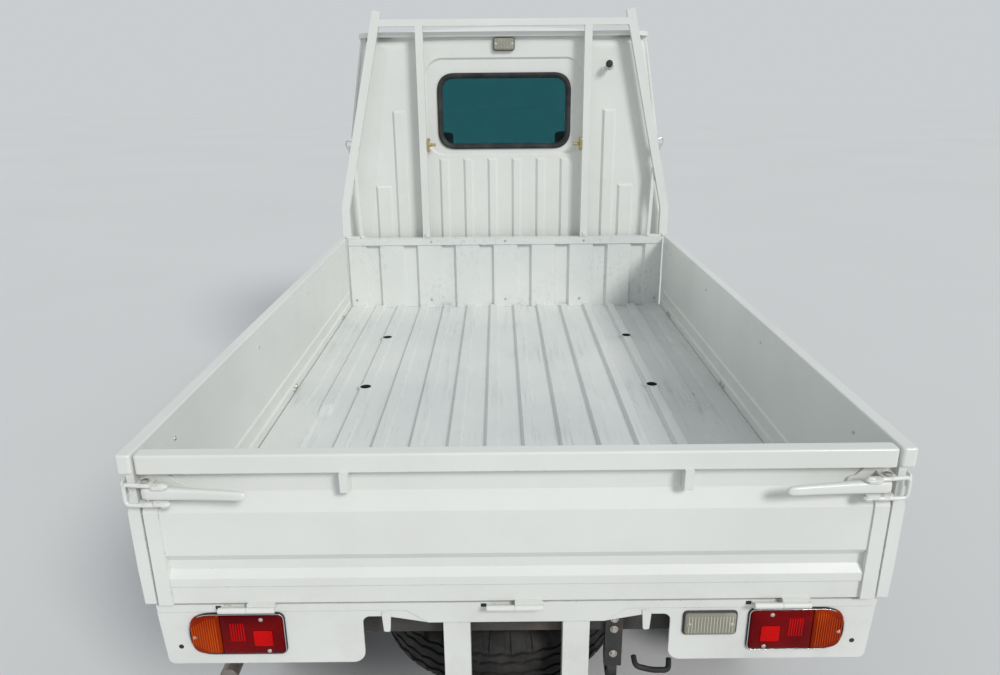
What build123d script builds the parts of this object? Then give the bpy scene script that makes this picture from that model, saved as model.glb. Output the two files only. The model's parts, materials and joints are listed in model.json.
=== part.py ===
from build123d import *
from math import cos, radians, sin
import os

# Kei class flatbed truck, cab over the front axle, drop-side bed.
# Millimetres. +Z up from the ground, front of the truck towards -Y,
# the truck's left side towards +X. Origin on the ground below the middle.

# Overall and running gear
LENGTH = 3295.0
BODY_WIDTH = 1390.0
WHEELBASE = 1885.0
FRONT_OVERHANG = 665.0
TRACK = 1205.0
TYRE_DIAMETER = 540.0
TYRE_WIDTH = 145.0
RIM_DIAMETER = 305.0
RIM_WIDTH = 112.0
HAND_HOLES = 10
WHEEL_NUTS = 4
KINGPIN_X = 520.0
SPINDLE_RADIUS = 30.0
SPINDLE_CLEARANCE = 0.3
JOINT_GAP = 0.3
PANEL_GAP = 6.0

# Cab
CAB_LENGTH = 1190.0
CAB_WALL = 36.0
CAB_BELT_Z = 985.0
CAB_TOP_Z = 1765.0
CAB_SIDE_INSET = 5.0
CAB_TUMBLEHOME = 122.0
CAB_BOTTOM_Z = 400.0
NOSE_SETBACK = 32.0
ROOF_CROWN = 34.0
GLASS_THICKNESS = 6.0
GLASS_INSET = 10.0
CAB_FLOOR_Z = 520.0
CAB_FLOOR_THICKNESS = 30.0
ARCH_RADIUS = 338.0

# Bed
CAB_TO_BED = 36.5
BED_FLOOR_Z = 645.0
SHEET = 4.0
FLOOR_RIB_HEIGHT = 12.0
FLOOR_RIB_PITCH = 100.0
FLOOR_RIB_WIDTH = 42.0
FLOOR_RIB_SLOPE = 7.0
FLOOR_RIB_TAPER = 30.0
GATE_BOTTOM_Z = 628.0
GATE_TOP_Z = 937.0
GATE_THICKNESS = 30.0
GATE_RAIL_HEIGHT = 35.0
GATE_HINGE_Z = 619.5
HINGE_HALF_LENGTH = 52.0
HINGE_RADIUS = 5.5
LATCH_REACH = 38.0
HEADBOARD_THICKNESS = 28.0
HEADBOARD_RIB_PITCH = 160.0
HEADBOARD_RECESS_WIDTH = 64.0
TAIL_PANEL_SETBACK = 16.0
TAIL_PANEL_BOTTOM_Z = 485.0

# Guard frame behind the cab
POST_SIZE = 34.0
GUARD_TOP_Z = 1818.0
GUARD_BAR_Z = 1774.0
GUARD_BEND_Z = 1056.0

# Chassis frame
RAIL_X = 330.0
RAIL_WIDTH = 52.0
RAIL_HEIGHT = 92.0

FRONT_Y = -LENGTH / 2
REAR_Y = LENGTH / 2
FRONT_AXLE_Y = FRONT_Y + FRONT_OVERHANG
REAR_AXLE_Y = FRONT_AXLE_Y + WHEELBASE
HUB_Z = TYRE_DIAMETER / 2
HALF_WIDTH = BODY_WIDTH / 2
WHEEL_X = TRACK / 2
TAILGATE_Y = REAR_Y - LATCH_REACH
TAILGATE_INNER_Y = TAILGATE_Y - GATE_THICKNESS
NOSE_Y = FRONT_Y + NOSE_SETBACK
CAB_REAR_Y = NOSE_Y + CAB_LENGTH
CAB_HALF_BELT = HALF_WIDTH - CAB_SIDE_INSET
CAB_HALF_TOP = CAB_HALF_BELT - CAB_TUMBLEHOME
HEADBOARD_Y = CAB_REAR_Y + CAB_TO_BED + HEADBOARD_THICKNESS
SIDE_GATE_INNER_X = HALF_WIDTH - GATE_THICKNESS
TAIL_PANEL_Y = TAILGATE_Y - TAIL_PANEL_SETBACK

# Cab skin, windows and doors
WINDSCREEN_RAKE = 0.52
NOSE_LOW_Z = 600.0
FRONT_CORNER = 130.0
REAR_CORNER = 62.0
NOSE_BOW = 46.0
SCREEN_BOW = 58.0
ROOF_EDGE_RADIUS = 70.0
REAR_WINDOW = dict(half=266, low=1298, high=1586, corner=68)

# Doors and their hinges
DOOR_FRONT_Y = NOSE_Y + 123
DOOR_REAR_Y = CAB_REAR_Y - 135
DOOR_BOTTOM_Z = 462.0
DOOR_TOP_Z = 1668.0
DOOR_HINGE_X = CAB_HALF_BELT + 7
DOOR_HINGE_Y = DOOR_FRONT_Y - PANEL_GAP / 2
DOOR_HINGE_Z = (690, 900)
DOOR_HINGE_RADIUS = 6.0
DOOR_HINGE_HALF = 30.0

# Roof and rear wall pressings
ROOF_RIB_PITCH = 190.0
ROOF_LIP = 14.0
ROOF_LIP_Z = (CAB_TOP_Z - 40, CAB_TOP_Z - 22)
REAR_NOTCH_X = 400.0
REAR_NOTCH_Z = 590.0
RECESS_HALF, RECESS_LOW_Z, RECESS_HIGH_Z, RECESS_DEPTH = 318.0, 1268.0, 1648.0, 7.0
CREASE_TOP_X, CREASE_TOP_Z, CREASE_LOW_X, CREASE_LOW_Z, CREASE_TURN = 460.0, 1690.0, 574.0, 930.0, 6.0

# Cab fittings and seats
MIRROR_REACH = 128.0
WIPER_X, WIPER_REACH = (-330.0, 120.0), 270.0
SEAT_BOX_FRONT_Y = CAB_REAR_Y - 705
SEAT_BOX_TOP_Z = 700.0
ARCH_INNER_X = 358.0
DOOR_ROOM = 5.5
DOOR_SWING_RADIUS = 78.0
SEAT_X = 320.0
SEAT_BASE_Z = SEAT_BOX_TOP_Z + JOINT_GAP
SEAT_HALF = 235.0
STEERING_WHEEL_Y = SEAT_BOX_FRONT_Y - 105
STEERING_WHEEL_Z = 1010.0
STEERING_WHEEL_RADIUS = 190.0
STEERING_TILT = 38.0
BUMPER_LOW_Z = 335.0
BUMPER_HIGH_Z = 598.0

# Bed floor
SHORT_RIB_X = 541.0
SHORT_RIB_END_Y = TAILGATE_Y - 885
BAND_X, BAND_WIDE_X, BAND_JOG_Y = 600.0, 545.0, TAILGATE_Y - 895
BED_HOLE_X, BED_HOLE_RADIUS = 450.0, 17.0
BED_EDGE_Z = BED_FLOOR_Z - FLOOR_RIB_HEIGHT - 62
BED_RAIL_LOW_Z = BED_FLOOR_Z - FLOOR_RIB_HEIGHT - 52
CROSSMEMBER_Y = [HEADBOARD_Y + 60] + [TAILGATE_Y - reach for reach in (1410, 930, 520, 120)]

# Gates and hinges
SIDE_HINGE_X = HALF_WIDTH - 5
TAIL_HINGE_Y = TAILGATE_Y + 2
SIDE_HINGE_Y = [HEADBOARD_Y + 210, (HEADBOARD_Y + TAILGATE_INNER_Y) / 2, TAILGATE_INNER_Y - 210]
TAIL_HINGE_X = [-492, 4, 500]
TAILGATE_FLANGE_X = 635.0

# Lamps and tow eyes
HEADLAMP_X, HEADLAMP_Z, HEADLAMP_CORNER = (352.0, 612.0), (640.0, 792.0), 24.0
GRILLE_HALF, GRILLE_LOW_Z, GRILLE_PITCH, GRILLE_SLOT_HALF = 270.0, 676.0, 42.0, 9.0
TAIL_LAMP_X, TAIL_LAMP_Z, TAIL_LAMP_DEPTH = (437.0, 620.0), (508.5, 601.5), 18.0
REVERSING_LAMP_X, REVERSING_LAMP_Z, REVERSING_LAMP_DEPTH = (-416.0, -314.0), (544.0, 596.0), 34.0
CARGO_LAMP_HALF, CARGO_LAMP_Z, CARGO_LAMP_PROUD = 43.0, (1672.0, 1722.0), 20.0
STAY_X, STAY_Z, STAY_DEPTH = (88.0, 139.0), (372.0, 600.0), 26.0
STAY_BAR_HALF, STAY_BAR_Z = 330.0, (362.0, 412.0)
LAMP_PROUD = 9.0
OVERLAY_PROUD = 1.5
TOW_X = 330.0
TOW_EYE_RADIUS = 20.0

# Chassis, springs and spare wheel
CAB_MOUNT_Y = (NOSE_Y + 235, NOSE_Y + 435)
HUB_CAP_INNER = 40.0
FRAME_CROSS = [(FRONT_Y + 230, 430), (CAB_REAR_Y - 45, 460), (CAB_REAR_Y + 485, 475),
               (REAR_AXLE_Y - 330, 500), (TAIL_PANEL_Y - 70, 545)]
SPRING_X = 440.0
TANK_Y = CAB_REAR_Y + 425
ENGINE_REAR_Y = CAB_REAR_Y - 95
SPARE_X, SPARE_Y, SPARE_Z = 30.0, REAR_AXLE_Y + 372, 420.0


def block(x0, x1, y0, y1, z0, z1):
    """A box from its two corners."""
    middle = Pos((x0 + x1) / 2, (y0 + y1) / 2, (z0 + z1) / 2)
    return middle * Box(abs(x1 - x0), abs(y1 - y0), abs(z1 - z0))


def outline(points, radius=None):
    """A closed outline with optional corner radii."""
    if radius is None:
        return make_face(Polyline(*points, close=True))
    return make_face(FilletPolyline(*points, radius=radius, close=True))


def slab_x(points, x0, x1, radius=None):
    """A side-view outline, points as (y, z), extruded across the truck."""
    return extrude(Plane.YZ.offset(x0) * outline(points, radius), x1 - x0)


def slab_y(points, y0, y1, radius=None):
    """A rear-view outline, points as (x, z), extruded along the truck."""
    return extrude(Plane.XZ.offset(-y1) * outline(points, radius), y1 - y0)


def slab_z(points, z0, z1, radius=None):
    """A plan outline, points as (x, y), extruded upwards."""
    return extrude(Plane.XY.offset(z0) * outline(points, radius), z1 - z0)


def rod_x(x0, x1, y, z, r):
    """A round bar across the truck."""
    return Pos((x0 + x1) / 2, y, z) * Rot(0, 90, 0) * Cylinder(r, abs(x1 - x0))


def rod_y(y0, y1, x, z, r):
    """A round bar along the truck."""
    return Pos(x, (y0 + y1) / 2, z) * Rot(90, 0, 0) * Cylinder(r, abs(y1 - y0))


def rod_z(z0, z1, x, y, r):
    """An upright round bar."""
    return Pos(x, y, (z0 + z1) / 2) * Cylinder(r, abs(z1 - z0))


def rod_between(start, end, r):
    """A round bar from one point to another."""
    return extrude(Plane(origin=start, z_dir=Vector(*end) - Vector(*start)) * Circle(r),
                   (Vector(*end) - Vector(*start)).length)


def bent_rod(points, r, bend):
    """A round bar along straight runs joined by arcs."""
    path = FilletPolyline(*points, radius=bend)
    start = Plane(origin=path @ 0, z_dir=path % 0)
    return sweep(start * Circle(r), path=path)


def other_side(shape):
    """The mirror image across the truck's middle."""
    return mirror(shape, about=Plane.YZ)


def both_sides(shape):
    """A piece and its mirror image."""
    return [shape, other_side(shape)]


def save(name, *solids):
    """Writes one piece to its own file; several solids share a node."""
    found = []
    for item in solids:
        found += item.solids()
    export_step(Compound(children=found) if len(found) > 1 else found[0], f"parts/{name}.step")


# Cab

def cab_section(z, half, front, rear, bow, front_corner, rear_corner):
    """Plan outline of the cab at one height, bowed at the front."""
    points = [(-half, rear), (-half, front + bow), (0, front), (half, front + bow), (half, rear)]
    radii = [rear_corner, front_corner, 2200, front_corner, rear_corner]
    return Plane.XY.offset(z) * outline(points, radii)


def cab_half_width(z):
    """Half width of the cab skin above the belt."""
    share = (z - CAB_BELT_Z) / (CAB_TOP_Z - CAB_BELT_Z)
    return CAB_HALF_BELT + (CAB_HALF_TOP - CAB_HALF_BELT) * share


def cab_front(z):
    """Y of the cab skin on the centre line, nose below the belt and windscreen above."""
    if z > CAB_BELT_Z:
        return NOSE_Y + 22 + (z - CAB_BELT_Z) * WINDSCREEN_RAKE
    return NOSE_Y + 22 * (z - NOSE_LOW_Z) / (CAB_BELT_Z - NOSE_LOW_Z)


def cab_body(inset, round_top=True):
    """The cab's outer form, or the same form moved inwards by inset."""
    corner_f, corner_r = FRONT_CORNER - inset, REAR_CORNER - inset
    rear = CAB_REAR_Y - inset
    side = CAB_HALF_BELT - inset
    lower = [
        cab_section(CAB_BOTTOM_Z, side - 10, NOSE_Y + 26 + inset, rear, NOSE_BOW, corner_f, corner_r),
        cab_section(NOSE_LOW_Z, side, NOSE_Y + inset, rear, NOSE_BOW, corner_f, corner_r),
    ]
    belt = cab_section(CAB_BELT_Z, side, cab_front(CAB_BELT_Z) + inset, rear, SCREEN_BOW, corner_f,
                       corner_r)
    top = cab_section(CAB_TOP_Z, CAB_HALF_TOP - inset, cab_front(CAB_TOP_Z) + inset, rear,
                      SCREEN_BOW, corner_f, corner_r + 28)
    form = loft(lower, ruled=True) + loft([lower[1], belt], ruled=True) + loft([belt, top], ruled=True)
    top_z = CAB_TOP_Z - inset
    wide = 760
    crown = make_face(Polyline((-wide, top_z - ROOF_CROWN * 1.6), (-wide, 300), (wide, 300),
                               (wide, top_z - ROOF_CROWN * 1.6))
                      + ThreePointArc((wide, top_z - ROOF_CROWN * 1.6), (0, top_z),
                                      (-wide, top_z - ROOF_CROWN * 1.6)))
    form = form & extrude(Plane.XZ.offset(-CAB_REAR_Y - 60) * crown, CAB_LENGTH + 160)
    if round_top:
        upper = form.edges().filter_by(lambda e: e.center().Z > top_z - 70)
        form = fillet(upper, ROOF_EDGE_RADIUS - inset)
    return form


CAB_FORMS = {}


def cab_form(inset, rounded=False):
    """The cab form for one inset, made once."""
    if (inset, rounded) not in CAB_FORMS:
        CAB_FORMS[(inset, rounded)] = cab_body(inset, rounded)
    return CAB_FORMS[(inset, rounded)]


def skin_y(x, z):
    """Y just at the cab's front skin, away from the centre line."""
    return cab_front(z) + SCREEN_BOW * abs(x) / cab_half_width(z)


def windscreen_cutter(grow):
    """Rounded trapezium through the windscreen, seen from ahead."""
    low, high = CAB_BELT_Z + 48 - grow, CAB_TOP_Z - 128 + grow
    wide_low, wide_high = cab_half_width(low) - 92 + grow, cab_half_width(high) - 78 + grow
    points = [(-wide_low, low), (wide_low, low), (wide_high, high), (-wide_high, high)]
    return slab_y(points, NOSE_Y - 60, FRONT_AXLE_Y - 60, 60 + grow)


def rear_window_cutter(grow):
    """Rounded opening of the rear window."""
    half, low, high = REAR_WINDOW["half"] + grow, REAR_WINDOW["low"] - grow, REAR_WINDOW["high"] + grow
    points = [(-half, low), (half, low), (half, high), (-half, high)]
    return slab_y(points, CAB_REAR_Y - 120, CAB_REAR_Y + 60, REAR_WINDOW["corner"] + grow)


def door_hinges(on_door):
    """Barrels and leaves on the left side: lower halves on the door, upper halves on the pillar."""
    found = None
    for z in DOOR_HINGE_Z:
        lower, upper = (z - DOOR_HINGE_HALF, z - JOINT_GAP / 2), (z + JOINT_GAP / 2, z + DOOR_HINGE_HALF)
        low, high = lower if on_door else upper
        reach = DOOR_HINGE_Y + 38 if on_door else DOOR_HINGE_Y - 38
        piece = rod_z(low, high, DOOR_HINGE_X, DOOR_HINGE_Y, DOOR_HINGE_RADIUS)
        root = DOOR_HINGE_Y + 2 if on_door else DOOR_HINGE_Y - 2
        piece = piece + block(CAB_HALF_BELT + 1, DOOR_HINGE_X, root, reach, low, high)
        foot = DOOR_HINGE_Y + PANEL_GAP / 2 if on_door else DOOR_HINGE_Y - PANEL_GAP / 2
        piece = piece + block(CAB_HALF_BELT - 40, CAB_HALF_BELT + 2, foot, reach, low, high)
        found = piece if found is None else found + piece
    return found


def pillar_y(z):
    """Y of the door's front edge: upright to the belt, then along the windscreen pillar."""
    return DOOR_FRONT_Y if z < CAB_BELT_Z else DOOR_FRONT_Y + (z - CAB_BELT_Z) * WINDSCREEN_RAKE


def door_prism(grow, left=True):
    """Side-view outline of a door, cut round the wheel arch, on one side of the cab."""
    front, rear = DOOR_FRONT_Y - grow, DOOR_REAR_Y + grow
    top = DOOR_TOP_Z + grow
    points = [(front, DOOR_BOTTOM_Z - grow), (front, CAB_BELT_Z), (pillar_y(top) - grow, top),
              (rear, top), (rear, DOOR_BOTTOM_Z - grow)]
    prism = slab_x(points, 380, 780, [30 + grow, 90, 70 + grow, 60 + grow, 30 + grow])
    arch = rod_x(370, 790, FRONT_AXLE_Y, HUB_Z, ARCH_RADIUS + 34 - grow)
    prism = prism - arch
    return prism if left else other_side(prism)


def door_window(grow, left=True):
    """The window opening of a door, following its own outline."""
    low, high = CAB_BELT_Z + 18 - grow, DOOR_TOP_Z - 62 + grow
    front_low, front_high = pillar_y(low) + 74 - grow, pillar_y(high) + 62 - grow
    rear = DOOR_REAR_Y - 66 + grow
    points = [(front_low, low), (front_high, high), (rear, high), (rear, low)]
    prism = slab_x(points, 380, 780, [36, 60, 56, 40])
    return prism if left else other_side(prism)


def build_cab():
    """The cab's skin in panels, with its glass, seal and doors."""
    outer, inner = cab_form(0, True), cab_form(CAB_WALL)
    shell = outer - inner
    glass_skin = cab_form(GLASS_INSET) - cab_form(GLASS_INSET + GLASS_THICKNESS)
    openings = [door_prism(PANEL_GAP, left) for left in (True, False)]
    arch = rod_x(-790, 790, FRONT_AXLE_Y, HUB_Z, ARCH_RADIUS)
    frame = shell - openings[0] - openings[1] - arch
    frame = frame - block(-REAR_NOTCH_X, REAR_NOTCH_X, CAB_REAR_Y - 90, CAB_REAR_Y + 30, 300,
                          REAR_NOTCH_Z)
    frame = frame - block(-REAR_NOTCH_X, REAR_NOTCH_X, NOSE_Y - 90, NOSE_Y + 120, 300, 470)

    roof_split_z = DOOR_TOP_Z + 22
    back_split_y = DOOR_REAR_Y + 38
    front_line = [(FRONT_Y - 150, 300), (DOOR_FRONT_Y - PANEL_GAP, 300),
                  (DOOR_FRONT_Y - PANEL_GAP, CAB_BELT_Z),
                  (pillar_y(roof_split_z) - PANEL_GAP, roof_split_z), (FRONT_Y - 150, roof_split_z)]
    ahead = slab_x(front_line, -760, 760)
    above = block(-760, 760, FRONT_Y - 50, back_split_y, roof_split_z, 1900)
    behind = block(-760, 760, back_split_y, CAB_REAR_Y + 40, 300, 1900)

    roof = frame & above
    for k in range(-2, 3):
        rib_x = k * ROOF_RIB_PITCH
        rib = block(rib_x - 18, rib_x + 18, pillar_y(CAB_TOP_Z) + 150, back_split_y - 60, CAB_TOP_Z - 60,
                    CAB_TOP_Z + 3)
        roof = roof + (rib & cab_form(-3) & block(-760, 760, FRONT_Y, 0, CAB_TOP_Z - 40, 1900))
    save("cab_roof", roof)

    front = (frame & ahead) - windscreen_cutter(0)
    for lamp_hole in both_sides(headlamp_body(JOINT_GAP)):
        front = front - lamp_hole
    front = front - grille_slots()
    for hinge in both_sides(door_hinges(False)):
        front = front + hinge
    save("cab_front_panel", front)

    back = (frame & behind) - window_recess() - rear_window_cutter(0)
    for crease in both_sides(rear_crease()):
        back = back - crease
    lip = (cab_form(-ROOF_LIP) - cab_form(4)) & block(-620, 620, CAB_REAR_Y - 60, CAB_REAR_Y + 60,
                                                      *ROOF_LIP_Z)
    save("cab_back_panel", back + back_ribs() + lip)

    sides = frame - ahead - above - behind
    save("cab_sides", *[s for s in sides.solids() if s.volume > 1e5])

    screen = glass_skin & windscreen_cutter(0) & ahead
    save("windscreen", max(screen.solids(), key=lambda s: s.volume))
    rear_glass = glass_skin & rear_window_cutter(-14) & behind
    save("rear_window", max(rear_glass.solids(), key=lambda s: s.volume))
    seal = rear_window_cutter(0) - rear_window_cutter(-14)
    seal = seal & block(-700, 700, CAB_REAR_Y - CAB_WALL - 4, CAB_REAR_Y + 3, 1000, 1700)
    lip = rear_window_cutter(5) - rear_window_cutter(-26)
    lip = lip & block(-700, 700, CAB_REAR_Y - RECESS_DEPTH + JOINT_GAP, CAB_REAR_Y + 3, 1000, 1700)
    save("rear_window_seal", seal + lip)

    for name, left in (("door_left", True), ("door_right", False)):
        build_door(name, left, shell, glass_skin)


def window_recess():
    """Shallow pressed surround of the rear window, its sides sloping at 45 degrees."""
    corners = [(-RECESS_HALF, RECESS_LOW_Z), (RECESS_HALF, RECESS_LOW_Z), (RECESS_HALF, RECESS_HIGH_Z),
               (-RECESS_HALF, RECESS_HIGH_Z)]
    face = Plane.XZ.offset(-CAB_REAR_Y) * outline(corners, 70)
    return extrude(face, RECESS_DEPTH, taper=45)


def rear_crease():
    """Wedge that turns the wall's outer strip forward beyond a slanting crease, on the left."""
    along = Vector(CREASE_LOW_X - CREASE_TOP_X, 0, CREASE_LOW_Z - CREASE_TOP_Z).normalized()
    outward = Vector(-along.Z, 0, along.X)
    turned = outward * cos(radians(CREASE_TURN)) - Vector(0, 1, 0) * sin(radians(CREASE_TURN))
    normal = turned.cross(along)
    normal = normal if normal.Y > 0 else -normal
    top = Vector(CREASE_TOP_X, CAB_REAR_Y, CREASE_TOP_Z) - along * 120
    plane = Plane(origin=top, x_dir=turned, z_dir=normal)
    side = 1 if plane.y_dir.dot(along) > 0 else -1
    return plane * (Pos(120, side * 650, 30) * Box(240, 1300, 60))


def back_ribs():
    """Pressed ribs on the cab's rear wall: (x centre, half width, top z)."""
    table = [(50, 21, 1256), (150, 21, 1256), (250, 21, 1256), (428, 28, 1448), (506, 34, 1147)]
    ribs = None
    for x, half, top in table:
        for centre in (x, -x):
            rib = slab_z([(centre - half, CAB_REAR_Y - 8), (centre - half, CAB_REAR_Y),
                          (centre - half + 9, CAB_REAR_Y + 9),
                          (centre + half - 9, CAB_REAR_Y + 9), (centre + half, CAB_REAR_Y),
                          (centre + half, CAB_REAR_Y - 8)], 690, top)
            end = slab_x([(CAB_REAR_Y, top + 1), (CAB_REAR_Y + 10, top - 9), (CAB_REAR_Y + 10, top + 1)],
                         centre - half - 1, centre + half + 1)
            rib = rib - end
            ribs = rib if ribs is None else ribs + rib
    return ribs


def headlamp_body(grow):
    """Rectangular headlamp block, on the left."""
    low, high = HEADLAMP_Z[0] - grow, HEADLAMP_Z[1] + grow
    inner, outer = HEADLAMP_X[0] - grow, HEADLAMP_X[1] + grow
    points = [(inner, low), (outer, low), (outer, high), (inner, high)]
    return slab_y(points, NOSE_Y - 30, NOSE_Y + 92, HEADLAMP_CORNER + grow)


def grille_slots():
    """Intake slots between the headlamps."""
    slots = None
    for k in range(3):
        middle = GRILLE_LOW_Z + GRILLE_PITCH * k
        low, high = middle - GRILLE_SLOT_HALF, middle + GRILLE_SLOT_HALF
        corners = [(-GRILLE_HALF, low), (GRILLE_HALF, low), (GRILLE_HALF, high), (-GRILLE_HALF, high)]
        slot = slab_y(corners, NOSE_Y - 40, NOSE_Y + 120, 8)
        slots = slot if slots is None else slots + slot
    return slots


def build_door(name, left, shell, glass_skin):
    """One cab door: a full-thickness frame with its window cut, its glass and its mirror."""
    side = 1 if left else -1
    window = door_window(0, left)
    door = (shell & door_prism(0, left)) - window
    door = max(door.solids(), key=lambda s: s.volume)
    handle = block(side * (CAB_HALF_BELT - 8), side * (CAB_HALF_BELT + 20), DOOR_REAR_Y - 150,
                   DOOR_REAR_Y - 50, 912, 936)
    hinges = door_hinges(True)
    door = door + handle + (hinges if left else other_side(hinges))
    save(name, door)
    glass = glass_skin & window & block(side * 300, side * 800, FRONT_Y - 50, 0, CAB_BELT_Z - 10, 1700)
    save(name + "_glass", max(glass.solids(), key=lambda s: s.volume))
    save("mirror_left" if left else "mirror_right",
         mirror_assembly() if left else other_side(mirror_assembly()))


def mirror_assembly():
    """Door mirror: housing on a short arm from the door's front corner."""
    foot = block(CAB_HALF_BELT - 4, CAB_HALF_BELT + 16, DOOR_FRONT_Y + 40, DOOR_FRONT_Y + 110, 930, 1010)
    arm = rod_between((CAB_HALF_BELT + 8, DOOR_FRONT_Y + 75, 975),
                      (CAB_HALF_BELT + 72, DOOR_FRONT_Y + 50, 1120), 10)
    housing = slab_y([(CAB_HALF_BELT + 14, 1060), (CAB_HALF_BELT + MIRROR_REACH, 1060),
                      (CAB_HALF_BELT + MIRROR_REACH, 1250), (CAB_HALF_BELT + 14, 1250)],
                     DOOR_FRONT_Y + 20, DOOR_FRONT_Y + 75, 34)
    return (foot + arm + housing) - cab_form(0)


def build_cab_floor():
    """Footwell, wheel housings and seat box in one pressing."""
    half = CAB_HALF_BELT - CAB_WALL + 20
    front, rear = NOSE_Y + CAB_WALL + 66, CAB_REAR_Y - CAB_WALL - 2
    seat_front, seat_top = SEAT_BOX_FRONT_Y, SEAT_BOX_TOP_Z
    pan_low, seat_low = CAB_FLOOR_Z - CAB_FLOOR_THICKNESS, seat_top - CAB_FLOOR_THICKNESS
    step_rear = seat_front + CAB_FLOOR_THICKNESS
    pan = slab_x([(front, pan_low), (step_rear, pan_low), (step_rear, seat_low), (rear, seat_low),
                  (rear, seat_top), (seat_front, seat_top), (seat_front, CAB_FLOOR_Z),
                  (front, CAB_FLOOR_Z)], -half, half)
    front_wall = block(-half, half, front, front + 20, CAB_FLOOR_Z, 700)
    cap = rod_x(ARCH_INNER_X, half, FRONT_AXLE_Y, HUB_Z, ARCH_RADIUS + 24)
    cap = cap & block(0, 800, front + 10, rear, CAB_FLOOR_Z - 60, 700)
    floor = pan + front_wall
    for side_cap in both_sides(cap):
        floor = floor + side_cap
    hollow = rod_x(ARCH_INNER_X + 16, 800, FRONT_AXLE_Y, HUB_Z, ARCH_RADIUS)
    for side_hollow in both_sides(hollow):
        floor = floor - side_hollow
    plan = cab_form(CAB_WALL + JOINT_GAP)
    door_room = (cab_form(CAB_WALL - 1) - cab_form(CAB_WALL + DOOR_ROOM)) & door_prism(PANEL_GAP, True)
    door_room = door_room + rod_z(CAB_FLOOR_Z - 90, 720, DOOR_HINGE_X, DOOR_HINGE_Y, DOOR_SWING_RADIUS)
    for room in both_sides(door_room):
        floor = floor - room
    save("cab_floor", floor & plan)


def dashboard_solid():
    """Padded dashboard, clear of the headlamps."""
    lamp_back, skin, edge = NOSE_Y + 95, NOSE_Y + 25, NOSE_Y + 223
    profile = [(lamp_back, 750), (lamp_back, 808), (skin, 822), (skin, 945), (edge - 48, 962),
               (edge, 930),
               (edge - 8, 820), (edge - 58, 750)]
    dash = slab_x(profile, -604, 604, [12, 12, 12, 12, 40, 30, 30, 20])
    return dash & cab_form(CAB_WALL + JOINT_GAP)


def build_interior():
    """Dashboard, seats, steering wheel, column, levers and pedals."""
    save("dashboard", dashboard_solid())

    seats = []
    for x in (-SEAT_X, SEAT_X):
        front, back = SEAT_BOX_FRONT_Y, CAB_REAR_Y - 75
        cushion = slab_x([(front + 10, SEAT_BASE_Z), (front - 10, 790), (front + 20, 826),
                          (back - 140, 806),
                          (back - 110, SEAT_BASE_Z)],
                         x - SEAT_HALF, x + SEAT_HALF, [20, 30, 40, 30, 20])
        rest = slab_x([(back - 140, 812), (back - 160, 850), (back - 100, 1330), (back - 60, 1380),
                       (back, 1370),
                       (back, 812)],
                      x - SEAT_HALF + 10, x + SEAT_HALF - 10, [16, 30, 30, 30, 30, 16])
        seats.append(cushion + rest + block(x - 160, x + 160, back - 130, back - 20, SEAT_BASE_Z, 840))
    save("seats", *seats)

    wheel_centre = Vector(-SEAT_X, STEERING_WHEEL_Y, STEERING_WHEEL_Z)
    axis = Vector(0, sin(radians(STEERING_TILT)), cos(radians(STEERING_TILT)))
    hub_plane = Plane(origin=wheel_centre, z_dir=axis)
    ring = hub_plane * Torus(STEERING_WHEEL_RADIUS, 13)
    boss = hub_plane * (Pos(0, 0, -14) * Cylinder(40, 60))
    wheel = ring + boss
    for angle in (0, 120, 240):
        spoke = Pos(STEERING_WHEEL_RADIUS / 2, 0, -6) * Box(STEERING_WHEEL_RADIUS, 26, 12)
        spoke = Rot(0, 0, angle + 90) * spoke
        wheel = wheel + hub_plane * spoke
    save("steering_wheel", wheel)

    column_top = wheel_centre - axis * (44 + JOINT_GAP)
    column_foot = wheel_centre - axis * 400
    column = rod_between(tuple(column_foot), tuple(column_top), 26)
    cowl = rod_between(tuple(wheel_centre - axis * 190), tuple(column_top), 44)
    levers = None
    for side in (-1, 1):
        base = wheel_centre - axis * 90
        lever = rod_between(tuple(base), (base.X + side * 170, base.Y, base.Z + 10), 6)
        levers = lever if levers is None else levers + lever
    lever_y = SEAT_BOX_FRONT_Y + 100
    shift = rod_between((-42, lever_y, 706), (-42, lever_y - 60, 900), 8)
    shift = shift + Pos(-42, lever_y - 60, 905) * Sphere(24)
    shift = shift + block(-76, -8, lever_y - 40, lever_y + 40, SEAT_BASE_Z, 716)
    brake = bent_rod([(50, lever_y + 125, SEAT_BASE_Z), (50, lever_y + 125, 760), (50, lever_y - 30, 800)],
                     11, 22)
    pedals = []
    for x in (-240, -340, -430):
        pad_y = NOSE_Y + 145
        arm = rod_between((x, pad_y - 10, 752), (x, pad_y, 560), 7)
        pedals.append(arm + block(x - 30, x + 30, pad_y - 6, pad_y + 8, 545, 610))
    found = (column + cowl + levers) - dashboard_solid()
    column_piece = max(found.solids(), key=lambda s: s.volume)
    save("cab_controls", column_piece, shift, brake, *[pedal - dashboard_solid() for pedal in pedals])


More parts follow.
